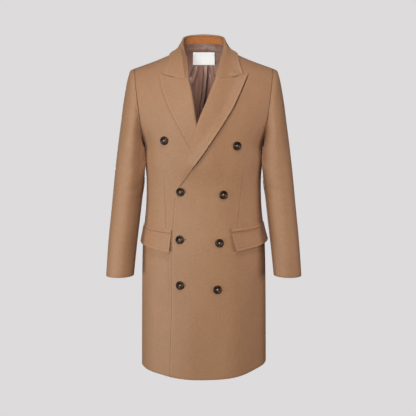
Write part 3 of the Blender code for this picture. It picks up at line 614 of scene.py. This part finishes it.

# The slit is a near-black bead of painted shadow, laid over the cloth.
slit_shade = thread_finish("buttonhole_slit_shadow", (0.040, 0.019, 0.010), (0.060, 0.030, 0.017))
PURL_APART, PURL_ASIDE, PURL = 0.0008, 0.0012, (0.0011, 0.00042, 0.00036)
HOLE_START, HOLE_LENGTH = -0.003, 0.0225    # from the button's middle to the end that shows beside it
SLIT = HOLE_LENGTH / 2, 0.0006, 0.0005
UP = Vector((0, 0, 1))
front_side = surface_of(fronts["left"])
for row in (2, 3, 4):
    low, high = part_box(f"button_right_{row}")
    hole_x, hole_z = (low.x + high.x) / 2 + HOLE_START, (low.z + high.z) / 2
    steps = range(int(HOLE_LENGTH / PURL_APART) + 1)
    spots = [(step * PURL_APART, aside) for step in steps for aside in (-PURL_ASIDE, PURL_ASIDE)]
    spots += [(HOLE_LENGTH + PURL_APART, aside) for aside in (-PURL_ASIDE, 0, PURL_ASIDE)]
    purls = []
    for along, aside in spots:
        where, out = seen_from(FRONT, front_side, hole_x + along, hole_z + aside)
        purls.append((where, (UP - out * out.z).normalized(), out))
    sew(f"buttonhole_{row}_purls", purls, camel_thread, PURL)
    # Painted shadow in the slit: one dark bead along its middle.
    where, out = seen_from(FRONT, front_side, hole_x + HOLE_LENGTH / 2, hole_z)
    slit_shadow = where, UP.cross(out).normalized(), out
    sew(f"buttonhole_{row}_slit", [slit_shadow], slit_shade, SLIT)

# Each sleeve is two pieces of the same wool, a wide one outside and a narrow one under the arm,
# sewn into a tube that bends forward a little at the elbow. Its head is eased into the armhole
# and its cuff is turned in and left plain.
SLEEVE_AXIS = (    # z, x and y of the middle of the left sleeve, from the cuff up
    (-0.715, 0.268, -0.047), (-0.655, 0.258, -0.036), (-0.500, 0.246, -0.018),
    (-0.360, 0.233, -0.006), (-0.250, 0.222, -0.002), (-0.150, 0.196, -0.001), (-0.080, 0.170, 0.0),
)
CUFF_FACING_Z = -0.665    # wool is turned in below this
OFF_SLEEVE = 0.3    # from the middle of a sleeve to a place well outside it
sleeve_cuts = {"sleeve_top": ((0.27, 0.67), 0.145), "sleeve_under": ((0.13, 0.48), 0.0498)}


def sleeve_middle(points, hand):
    z = points[..., 2]
    heights, xs, ys = zip(*SLEEVE_AXIS)
    return np.stack((hand * np.interp(z, heights, xs), np.interp(z, heights, ys), z), -1)


def mark_seam_shade(cloths, others, where=lambda point: True, also=()):
    """Keeps on each cloth how near its points are to the line along which it meets the others, and to
    the spots of an edge, for the painted shade drawn along both."""
    across = surface_of(*others)
    for cloth in cloths:
        spots = [vertex.co for vertex in cloth.vertices if where(vertex.co)]
        meeting = [spot for spot in spots if across.find_nearest(spot, SEAM_GAP)[0]]
        keep_nearness(cloth, "seam_shade_near", [*meeting, *also])


for side, hand in HANDS.items():
    def sleeve_outward(points, hand=hand):
        points = np.array(points)
        return unit(points - sleeve_middle(points, hand))

    pieces = {
        part: cloth_wall(part + "_" + side, 2, sleeve_outward, lambda p: p.z < CUFF_FACING_Z)
        for part in sleeve_cuts
    }
    tube = surface_of(*pieces.values())

    def on_sleeve(*spots):
        """The points on the outside of the sleeve at these turns, from the front round by the outside
        to the back in degrees, and heights."""
        found = []
        for turn, z in spots:
            middle = Vector(sleeve_middle(np.array((0, 0, z)), hand))
            way = Vector((hand * math.sin(math.radians(turn)), -math.cos(math.radians(turn)), 0))
            found.append(tuple(tube.ray_cast(middle + OFF_SLEEVE * way, -way)[0]))
        return found

    skew = 4 * hand    # the two sleeves crease alike, but not the same
    press(
        pieces.values(),
        sleeve_outward,
        [
            (on_sleeve((-60, -0.425 - skew / 500), (-20, -0.440), (30 + skew, -0.452)), 0.011, -0.0019),
            (on_sleeve((-70, -0.462), (-30, -0.470 + skew / 1000), (8, -0.468)), 0.009, -0.0015),
            (on_sleeve((-64, -0.500), (-36 + skew, -0.497), (-10, -0.488)), 0.010, -0.0011),
            (on_sleeve((150, -0.400), (128 + skew, -0.440), (96, -0.470)), 0.014, -0.0012),
            (on_sleeve((165, -0.520), (130, -0.540), (100 + skew, -0.545)), 0.013, -0.0010),
            (on_sleeve((20 + skew, -0.200), (30, -0.280), (28, -0.360)), 0.016, -0.0012),
            (on_sleeve((150, -0.190), (140 - skew, -0.280), (146, -0.360)), 0.016, -0.0014),
            (on_sleeve((62, -0.520), (66 + skew, -0.610), (60, -0.690)), 0.016, -0.0010),
            (on_sleeve((-40, -0.560), (-34, -0.630), (-38 - skew, -0.700)), 0.012, -0.0011),
            (on_sleeve((10, -0.640), (24 + skew, -0.662), (40, -0.668)), 0.010, -0.0007),
        ],
    )
    sew_together(*pieces.values())
    # Painted shade along the armhole seams, on sleeves and body, and along the left front's turned edge.
    mark_seam_shade(pieces.values(), (fronts[side], backs[side]))
    mark_seam_shade((fronts[side], backs[side]), pieces.values(), also=front_rim if side == "left" else ())
    rests_on = ["front_" + side, "back_" + side]
    for part, (flat, area) in sleeve_cuts.items():
        dress(part + "_" + side, pieces[part], LINED_WOOL, flat, area, rests_on)

# The lapels are the turned-back tops of the fronts, peaked and pressed flat over a soft roll, and
# the collar's fall is folded over its band and sewn to them along the slanting gorge. Wool on both
# sides, with a row of stitches set in from the turned edges.
lapels = {side: cloth_wall("lapel_" + side, 3) for side in HANDS}
collar = cloth_wall("collar_fall", 3)
LAPEL_ROLL = {    # z and x of the rolled edge at the top and the bottom of each lapel
    "left": ((-0.030, 0.0715), (-0.420, -0.0740)), "right": ((-0.030, -0.0725), (-0.385, 0.0080)),
}
ROLL_WIDTH = 0.024    # from the rolled edge to where a turned and stitched one can lie
GORGE_REACH, GORGE_Z = 0.113, -0.100    # the seam of lapel and collar lies inside and above these
GORGE_SHADE_X = -0.090    # past this the right lapel's gorge seam gets painted shade, towards the notch
GORGE_GAP = 0.00016    # what is left open in that seam
COLLAR_MIDDLE_Y = 0.01
COLLAR_REACH, COLLAR_FRONT_X = 0.082, 0.097    # its turned edge lies outside these, behind and in front
EDGE_STAND = {"left": 0.0066, "right": 0.0016}    # how far each lapel's edge stands off


def forward(points):
    return np.broadcast_to((0.0, -1.0, 0.0), np.shape(points))


def sink_seam(cloths, width, depth):
    """Presses a groove along the line where the first of two sewn pieces meets the other."""
    across = surface_of(cloths[1])
    seam = [point for point in points_of(cloths[0]) if across.find_nearest(point, 2.5 * GORGE_GAP)[0]]
    near_seam = tree_of(seam)
    for cloth in cloths:
        points = points_of(cloth)
        far = np.array([near_seam.find(point)[2] for point in points])
        points[:, 1] += depth * np.exp(-((far / width) ** 2))
        move_points(cloth, points)


def lift_edges(cloth, outward, height, reach, weight=lambda points: 1):
    """Stands the turned edges off the coat by this height, less further in and nothing past reach."""
    near = np.empty(len(cloth.vertices))
    cloth.attributes["edge_near"].data.foreach_get("value", near)
    points = points_of(cloth)
    lift = height * np.clip((near - EDGE_REACH + reach) / reach, 0, 1) ** 1.5 * weight(points)
    move_points(cloth, points + lift[:, None] * outward(points))


def on_lapel_edge(side, p):
    (top_z, top_x), (low_z, low_x) = LAPEL_ROLL[side]
    roll_x = top_x + (p.z - top_z) * (low_x - top_x) / (low_z - top_z)
    return (p.x - roll_x) * HANDS[side] > ROLL_WIDTH and (abs(p.x) > GORGE_REACH or p.z < GORGE_Z)


def on_collar_edge(p):
    if p.y <= COLLAR_MIDDLE_Y and abs(p.x) <= COLLAR_FRONT_X:
        return False
    return math.hypot(p.x, p.y - COLLAR_MIDDLE_Y) > COLLAR_REACH


def collar_ends(points):
    """1 at the left end of the fall, a fifth at its right end and 0 behind the neck."""
    return np.clip(points[:, 0] / 0.05, 0.2, 1) * np.clip((0.02 - points[:, 1]) / 0.03, 0, 1)


for side, cloth in lapels.items():
    sew_together(cloth, collar, sewn_gap=GORGE_GAP)
    sink_seam((cloth, collar), width=0.0030, depth=0.0014)
    turned_edges(cloth, lambda p: on_lapel_edge(side, p))
    lift_edges(cloth, forward, EDGE_STAND[side], reach=0.030)
    lapel_row = stitch_places(cloth, EDGE_ROW, forward, STITCH_APART)
    sew(f"lapel_{side}_stitches", lapel_row, camel_thread, STITCH)
# Painted shade along the outer end of the right lapel's gorge seam, on lapel and collar.
for cloth, other in ((lapels["right"], collar), (collar, lapels["right"])):
    mark_seam_shade([cloth], [other], lambda p: p.x < GORGE_SHADE_X)
turned_edges(collar, on_collar_edge)
lift_edges(collar, forward, 0.0070, reach=0.024, weight=collar_ends)
collar_row = stitch_places(collar, EDGE_ROW, lambda p: unit(np.array((p.x, p.y, 0.05))), STITCH_APART)
sew("collar_stitches", collar_row, camel_thread, STITCH)
WOOL = [camel_wool]
for side, flat, area in (("left", (0.13, 0.42), 0.0256), ("right", (0.12, 0.36), 0.0199)):
    dress("lapel_" + side, lapels[side], WOOL, flat, area, ["front_" + side])
under_collar = ["collar_stand", "back_left", "back_right"]
dress("collar_fall", collar, WOOL, (0.12, 0.50), 0.0381, under_collar)

# The band inside the collar is orange-tan felt, as tailors put under a collar, and the lining comes
# up over its foot in an almost level line.
BAND_FOOT_Z, BAND_FOOT_DROP = 0.0212, 1.64    # that line's height behind the neck, its fall by x squared
FOOT_BLUR = 0.0006
felt, felt_shader, felt_place, (felt_x, _, felt_z) = finish("collar_felt", Sheen_Weight=0.2)
felt_hair = felt_place.noise(1300, 3)
felt_cloud = felt_place.noise(70, 2)
felt_tint = (0.6 * felt_hair + 0.4 * felt_cloud).rise(0.3, 0.7)
felt_colour = felt_tint.blend((0.36, 0.108, 0.020), (0.47, 0.158, 0.035))
felt_level = felt_z + BAND_FOOT_DROP * felt_x * felt_x
felt_foot = felt_level.rise(BAND_FOOT_Z + FOOT_BLUR, BAND_FOOT_Z - FOOT_BLUR)
felt_foot.blend(felt_colour, (0.205, 0.108, 0.080)).feed(felt_shader, "Base Color")
(0.9 - 0.4 * felt_foot).feed(felt_shader, "Roughness")
(0.14 * felt_hair).emboss(felt_shader)
band = cloth_wall("collar_stand", 3)
both_backs = ["back_left", "back_right"]
dress("collar_stand", band, [felt], (0.05, 0.30), 0.0108, both_backs)

# The lining of the back is mauve-brown satin, cut wider than the back: a pleat down its middle
# takes up the ease, and it wrinkles away from the label. It is sewn in along the neck.
lining = cloth_wall("lining_back", 3)
satin_side = surface_of(lining)


def on_lining(*spots):
    return [tuple(seen_from(FRONT, satin_side, x, z)[0]) for x, z in spots]


PLEAT = (    # depth below the neck and x of the pleat's edge
    (0.048, 0.0109), (0.080, 0.0109), (0.152, 0.0042), (0.180, -0.0014), (0.420, -0.0030),
)
PLEAT_SPAN = (0.046, 0.078, 0.200, 0.420), (0, 1, 1, 0)    # depths, and how far the pleat opens there
PLEAT_FOLD = (    # across from the pleat's edge, and how far the satin stands out there
    (-0.0140, 0), (-0.0118, -0.0024), (-0.0094, 0.0020), (-0.0035, 0.0056), (-0.0012, 0.0066),
    (0.0012, -0.0042), (0.0046, -0.0038), (0.0130, 0),
)
lining_points = points_of(lining)
from_pleat = lining_points[:, 0] - np.interp(-lining_points[:, 2], *zip(*PLEAT))
pleat_span = np.interp(-lining_points[:, 2], *PLEAT_SPAN)
lining_points[:, 1] -= np.interp(from_pleat, *zip(*PLEAT_FOLD)) * pleat_span
move_points(lining, lining_points)
wrinkle_out = press(
    [lining],
    forward,
    [
        (on_lining((0.0160, -0.046), (0.0195, -0.062), (0.0240, -0.084)), 0.0030, -0.0034),
        (on_lining((0.0210, -0.046), (0.0300, -0.080), (0.0440, -0.120)), 0.0046, 0.0052),
        (on_lining((-0.0282, -0.050), (-0.0370, -0.070), (-0.0460, -0.092)), 0.0040, -0.0040),
        (on_lining((-0.0190, -0.048), (-0.0290, -0.080), (-0.0400, -0.118)), 0.0050, 0.0054),
        (on_lining((-0.0180, -0.090), (-0.0210, -0.130), (-0.0200, -0.220)), 0.0052, 0.0036),
        (on_lining((-0.0360, -0.090), (-0.0340, -0.150), (-0.0300, -0.230)), 0.0044, 0.0038),
        (on_lining((-0.0100, -0.120), (-0.0120, -0.180), (-0.0160, -0.260)), 0.0040, 0.0030),
        (on_lining((0.0280, -0.110), (0.0250, -0.170), (0.0240, -0.250)), 0.0042, 0.0034),
        (on_lining((-0.0560, -0.010), (-0.0500, -0.030), (-0.0460, -0.060)), 0.0044, 0.0024),
        (on_lining((0.0560, -0.012), (0.0490, -0.034), (0.0450, -0.070)), 0.0042, 0.0026),
        (on_lining((0.0080, 0.006), (0.0110, -0.002), (0.0130, -0.008)), 0.0030, -0.0014),
        (on_lining((0.0240, 0.004), (0.0310, -0.006), (0.0400, -0.020)), 0.0040, 0.0022),
    ],
)
WRINKLE_DEPTH = 0.0034    # a wrinkle this deep gets its darkest painted shade


def beside_pleat(across, width):
    """1 along the line this far across from the pleat's edge, fading over this width."""
    return np.exp(-(((from_pleat - across) / width) ** 2))


# Painted shade in the pleat's hollows and the wrinkles' troughs, kept on the lining as fold_shade.
in_pleat = 0.9 * beside_pleat(0.0028, 0.0026) + 0.7 * beside_pleat(-0.0118, 0.0015)
in_wrinkle = 0.75 * np.clip(-wrinkle_out / WRINKLE_DEPTH, 0, 1)
fold_shade = np.clip(in_pleat * np.sqrt(pleat_span) + in_wrinkle, 0, 1)
lining.attributes.new("fold_shade", "FLOAT", "POINT").data.foreach_set("value", fold_shade)

STRIP = 0.004    # width of the strips in which the top of the lining is found
FOOT_SIDES = (0.060, 0.068), (1, 0)    # the lining comes forward as far as this from the middle
FOOT_RISE = (-0.050, -0.008, 0.002), (0, 0.35, 1)    # heights, and how far it has come forward there
FOOT_LOW_Z = -0.006    # the lining is drawn up or down to its line only above this
FELT_CLEAR = 0.0016    # from the felt to the satin before it
band_side = surface_of(band)
strips = np.round(points_of(lining)[:, 0] / STRIP)
top_xs = np.unique(strips) * STRIP
top_zs = [points_of(lining)[strips == strip, 2].max() for strip in np.unique(strips)]


def in_the_neck(surface, x, z):
    """The place that shows inside the back of the neck at this x and z, if there is one."""
    return surface.ray_cast((x, 0, z), (0, 1, 0))[0]


lining_points = points_of(lining)
for point in lining_points:
    x, _, z = point
    ease = np.interp(abs(x), *FOOT_SIDES) * np.interp(z, *FOOT_RISE)
    if ease > 0:
        top_z = np.interp(x, top_xs, top_zs)
        foot_z = BAND_FOOT_Z - BAND_FOOT_DROP * x * x
        new_z = z + ease * (foot_z - top_z) * np.interp(z, (FOOT_LOW_Z, top_z), (0, 1))
        own = in_the_neck(satin_side, x, min(z, top_z - 0.001))
        above = (in_the_neck(band_side, x, new_z + 0.002 * step) for step in range(20))
        felt_at = next((place for place in above if place), own)
        point[1] -= ease * (own.y - felt_at.y + FELT_CLEAR)
        point[2] = new_z
move_points(lining, lining_points)
dress("lining_back", lining, [lining_satin], (0.40, 0.50), 0.179, both_backs)

# The label is a white woven strip with its ends turned under, sewn to the lining below the band.
# It is left blank.
LABEL_CLEAR = 0.0002    # between its back and the highest fold of the lining
LABEL_ROW, LABEL_APART, LABEL_STITCH = 0.0016, 0.0030, (0.0009, 0.00022, 0.00018)
label_cloth, label_shader, label_place, _ = finish("label_cloth", Roughness=0.6)
label_warp = label_place.noise(2400, 1, (1, 1, 10))
label_weft = label_place.noise(2400, 1, (10, 10, 1))
label_tint = (0.5 * label_warp + 0.5 * label_weft).rise(0.3, 0.7)
label_tint.blend((0.69, 0.675, 0.665), (0.77, 0.755, 0.745)).feed(label_shader, "Base Color")
(0.06 * label_warp + 0.06 * label_weft).emboss(label_shader)
label = cloth_wall("neck_label", 3)
label_points = points_of(label)
label_x, _, label_z = label_points.T
under, behind = (
    np.array([in_the_neck(surface, x, z).y for x, _, z in label_points])
    for surface in (satin_side, surface_of(lining))
)
bends = np.stack((np.ones_like(label_x), label_x, label_x**2, label_z), 1)
smooth_y = bends @ np.linalg.lstsq(bends, behind, rcond=None)[0]
label_points[:, 1] += smooth_y - under - LABEL_CLEAR - (smooth_y - behind).max()
move_points(label, label_points)
turned_edges(label, lambda p: True)
white_thread = thread_finish("white_thread", (0.70, 0.69, 0.66), (0.85, 0.84, 0.82))
label_row = stitch_places(label, LABEL_ROW, forward, LABEL_APART)
sew("label_stitches", label_row, white_thread, LABEL_STITCH)
dress("neck_label", label, [label_cloth], (0.0408, 0.0785), 0.0032, ["lining_back"])

# Each pocket has a narrow welt of folded wool along its mouth and a flap that hangs over it, turned
# and stitched on three sides. A bar of thread holds the inner end of the welt.
FLAP_STAND = {"left": 0.0022, "right": 0.0070}    # how far the lower inner corner stands off
MOUTH_NEAR, MOUTH_SHADOW = 0.004, 0.0016    # so near the welt an edge isn't turned; so near it the flap gets painted shadow under the welt
flap_sides = {}
for side, flat, area in (("left", (0.070, 0.165), 0.0098), ("right", (0.070, 0.150), 0.0089)):
    flap = cloth_wall("pocket_flap_" + side, 3)
    top_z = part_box("pocket_flap_" + side)[1].z
    mouth = surface_of(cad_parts["pocket_welt_" + side].data)

    def lower_inner_corner(points):
        """0 along the mouth and at the outer end, 1 at the lower inner corner."""
        below = np.clip((top_z - points[:, 2]) / 0.05, 0, 1)
        return below * np.clip(1.6 - abs(points[:, 0]) / 0.09, 0, 1)

    turned_edges(flap, lambda p: not mouth.find_nearest(p, MOUTH_NEAR)[0])
    lift_edges(flap, body_outward, FLAP_STAND[side], reach=0.025, weight=lower_inner_corner)
    flap_sides[side] = surface_of(flap)
    # Painted shadow along the flap's top, under the welt.
    along_mouth = [v.co for v in flap.vertices if mouth.find_nearest(v.co, MOUTH_SHADOW)[0]]
    keep_nearness(flap, "seam_shade_near", along_mouth)
    flap_row = stitch_places(flap, EDGE_ROW, body_outward, STITCH_APART)
    sew(f"pocket_flap_{side}_stitches", flap_row, camel_thread, STITCH)
    dress("pocket_flap_" + side, flap, WOOL, flat, area, ["front_" + side])

WELT_STAND = {"left": 0.0050, "right": 0.0014}    # how far the folded edge stands off, over the flap
FLAP_NEAR = 0.003    # the welt's edge that lies nearer the flap than this is the folded one
WELT_END_X = 0.188    # at its outer end the welt lies flat
TACK_HEIGHT, TACK_ROWS, TACK_STITCH = 0.011, 12, (0.0013, 0.0005, 0.0005)
TACK_ASIDE, TACK_TOP = 0.0004, 0.009    # from the inner end of the welt, and up from its lowest corner
for side, flat, area in (("left", (0.010, 0.165), 0.0015), ("right", (0.010, 0.150), 0.0013)):
    welt = cloth_wall("pocket_welt_" + side, 3)
    turned_edges(welt, lambda p: flap_sides[side].find_nearest(p, FLAP_NEAR)[0])
    lift_edges(
        welt, body_outward, WELT_STAND[side], reach=0.0085,
        weight=lambda points: np.clip((WELT_END_X - abs(points[:, 0])) / 0.03, 0, 1),
    )
    low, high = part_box("pocket_welt_" + side)
    tack_x = low.x - TACK_ASIDE if side == "left" else high.x + TACK_ASIDE
    pocket_side = surface_of(fronts[side], welt)
    tack = []
    for row in range(TACK_ROWS):
        down = TACK_HEIGHT * row / (TACK_ROWS - 1)
        where, out = seen_from(FRONT, pocket_side, tack_x, low.z + TACK_TOP - down)
        tack.append((where, UP.cross(out).normalized(), out))
    sew(f"pocket_{side}_tack", tack, camel_thread, TACK_STITCH)
    dress("pocket_welt_" + side, welt, WOOL, flat, area, ["front_" + side])

# The buttons are dark horn, turned with a thick rim round a shallow dish, drilled with four holes
# and sewn on with a cross of pale thread.
horn, horn_shader, horn_place, _ = finish(
    "dark_horn", Coat_Weight=0.06, Coat_Roughness=0.12, Specular_IOR_Level=0.2
)
horn_grain = horn_place.noise(420, 4, (1, 1, 6))
horn_tint = horn_grain.rise(0.35, 0.75)
horn_tint.blend((0.012, 0.006, 0.003), (0.085, 0.042, 0.021)).feed(horn_shader, "Base Color")
(0.26 + 0.18 * horn_grain).feed(horn_shader, "Roughness")
pale_thread = thread_finish("pale_thread", (0.44, 0.375, 0.325), (0.62, 0.545, 0.485))
BUTTON_RADIUS = 0.0135
BUTTON_PROFILE = (    # across and up in shares of the radius, from the dish over the rim to the back
    (0.36, 0.145), (0.44, 0.158), (0.52, 0.182), (0.60, 0.215), (0.67, 0.258), (0.73, 0.295),
    (0.80, 0.315), (0.88, 0.31), (0.95, 0.26), (1.00, 0.19), (0.985, 0.12), (0.90, 0.04),
    (0.80, 0.015), (0.70, 0.0),
)
DISH_Z = BUTTON_RADIUS * BUTTON_PROFILE[0][1]
HOLE_SPREAD, HOLE_RADIUS, HOLE_DEPTH = 0.0024, 0.00095, 0.0018
TURN_STEPS, HOLE_STEPS = 48, 12
CRISP = math.radians(40)    # edges that turn more than this stay crisp


def horn_button():
    button = bmesh.new()
    turned = [button.verts.new((BUTTON_RADIUS * r, 0, BUTTON_RADIUS * h)) for r, h in BUTTON_PROFILE]
    edges = [button.edges.new(pair) for pair in zip(turned, turned[1:])]
    bmesh.ops.spin(
        button, geom=turned + edges, cent=(0, 0, 0), axis=(0, 0, 1), angle=math.tau, steps=TURN_STEPS,
        use_merge=True,
    )
    bmesh.ops.remove_doubles(button, verts=button.verts, dist=1e-6)
    rims = [edge for edge in button.edges if edge.is_boundary]
    dish = [edge for edge in rims if abs(edge.verts[0].co.z - DISH_Z) < 1e-6]
    back = [edge for edge in rims if edge not in dish]
    bmesh.ops.contextual_create(button, geom=back)
    holes = []
    for x, y in ((1, 1), (-1, 1), (-1, -1), (1, -1)):
        ring = bmesh.ops.create_circle(
            button, cap_ends=False, segments=HOLE_STEPS, radius=HOLE_RADIUS,
            matrix=Matrix.Translation((x * HOLE_SPREAD, y * HOLE_SPREAD, DISH_Z)),
        )["verts"]
        holes.extend(dict.fromkeys(edge for vertex in ring for edge in vertex.link_edges))
    bmesh.ops.triangle_fill(button, use_beauty=True, edges=dish + holes)
    sunk = bmesh.ops.extrude_edge_only(button, edges=holes)["geom"]
    bottom = [part for part in sunk if isinstance(part, bmesh.types.BMVert)]
    bmesh.ops.translate(button, verts=bottom, vec=(0, 0, -HOLE_DEPTH))
    open_ends = [edge for edge in button.edges if edge.is_boundary]
    bmesh.ops.holes_fill(button, edges=open_ends, sides=HOLE_STEPS)
    bmesh.ops.recalc_face_normals(button, faces=button.faces)
    for face in button.faces:
        face.smooth = True
    for edge in button.edges:
        edge.smooth = edge.calc_face_angle(0) < CRISP
    return button


CROSS_REACH = HOLE_SPREAD * math.sqrt(2)    # from the middle of the button to a hole
THREAD_RADIUS, THREAD_ASIDE = 0.00042, 0.00045
THREAD_DIP, DIP_START = 0.0022, 0.55    # how deep the ends go, and from which share of the reach


def thread_cross():
    """Two bars of double thread, one over the other, from hole to hole."""
    cross = bmesh.new()
    for turn, rise in ((math.pi / 4, 0.0003), (3 * math.pi / 4, 0.0009)):
        for aside in (-THREAD_ASIDE, THREAD_ASIDE):
            bar = bmesh.ops.create_cone(
                cross, cap_ends=True, segments=8, radius1=THREAD_RADIUS, radius2=THREAD_RADIUS,
                depth=2 * CROSS_REACH,
                matrix=Matrix.Rotation(turn, 4, "Z")
                @ Matrix.Translation((0, aside, DISH_Z + rise))
                @ Matrix.Rotation(math.pi / 2, 4, "Y"),
            )["verts"]
            edges = dict.fromkeys(edge for vertex in bar for edge in vertex.link_edges)
            along = [edge for edge in edges if edge.calc_length() > CROSS_REACH]
            bmesh.ops.subdivide_edges(cross, edges=along, cuts=6, use_grid_fill=True)
    for vertex in cross.verts:
        past = max(0, vertex.co.xy.length / CROSS_REACH - DIP_START)
        vertex.co.z -= THREAD_DIP * (past / (1 - DIP_START)) ** 1.6
    for face in cross.faces:
        face.smooth = True
    return cross


BUTTON_TURN = 11    # degrees by which each button is turned further than the one above it
for row in range(1, 5):
    for side, first_turn in (("right", 0), ("left", 29)):
        node = f"button_{side}_{row}"
        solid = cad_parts[node].data
        low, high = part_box(node)
        axis = Vector()
        for polygon in solid.polygons:
            if polygon.normal.y < -0.5:
                axis += polygon.normal * polygon.area
        axis.normalize()
        upright = (UP - axis * axis.z).normalized()
        seat = min(vertex.co.dot(axis) for vertex in solid.vertices)
        middle = (low + high) / 2
        middle += axis * (seat - middle.dot(axis))
        place = Matrix((upright.cross(axis), upright, axis)).transposed().to_4x4()
        place.translation = middle
        place = place @ Matrix.Rotation(math.radians(BUTTON_TURN * row + first_turn), 4, "Z")
        made = ("horn", horn_button(), horn), ("thread", thread_cross(), pale_thread)
        for kind, shape, material in made:
            bmesh.ops.transform(shape, matrix=place, verts=shape.verts)
            mesh = bpy.data.meshes.new(f"{node}_{kind}")
            shape.to_mesh(mesh)
            shape.free()
            mesh.materials.append(material)
            piece = bpy.data.objects.new(f"{node}_{kind}", mesh)
            scene.collection.objects.link(piece)
            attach(piece, "root")
            if kind == "horn":
                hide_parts(node)
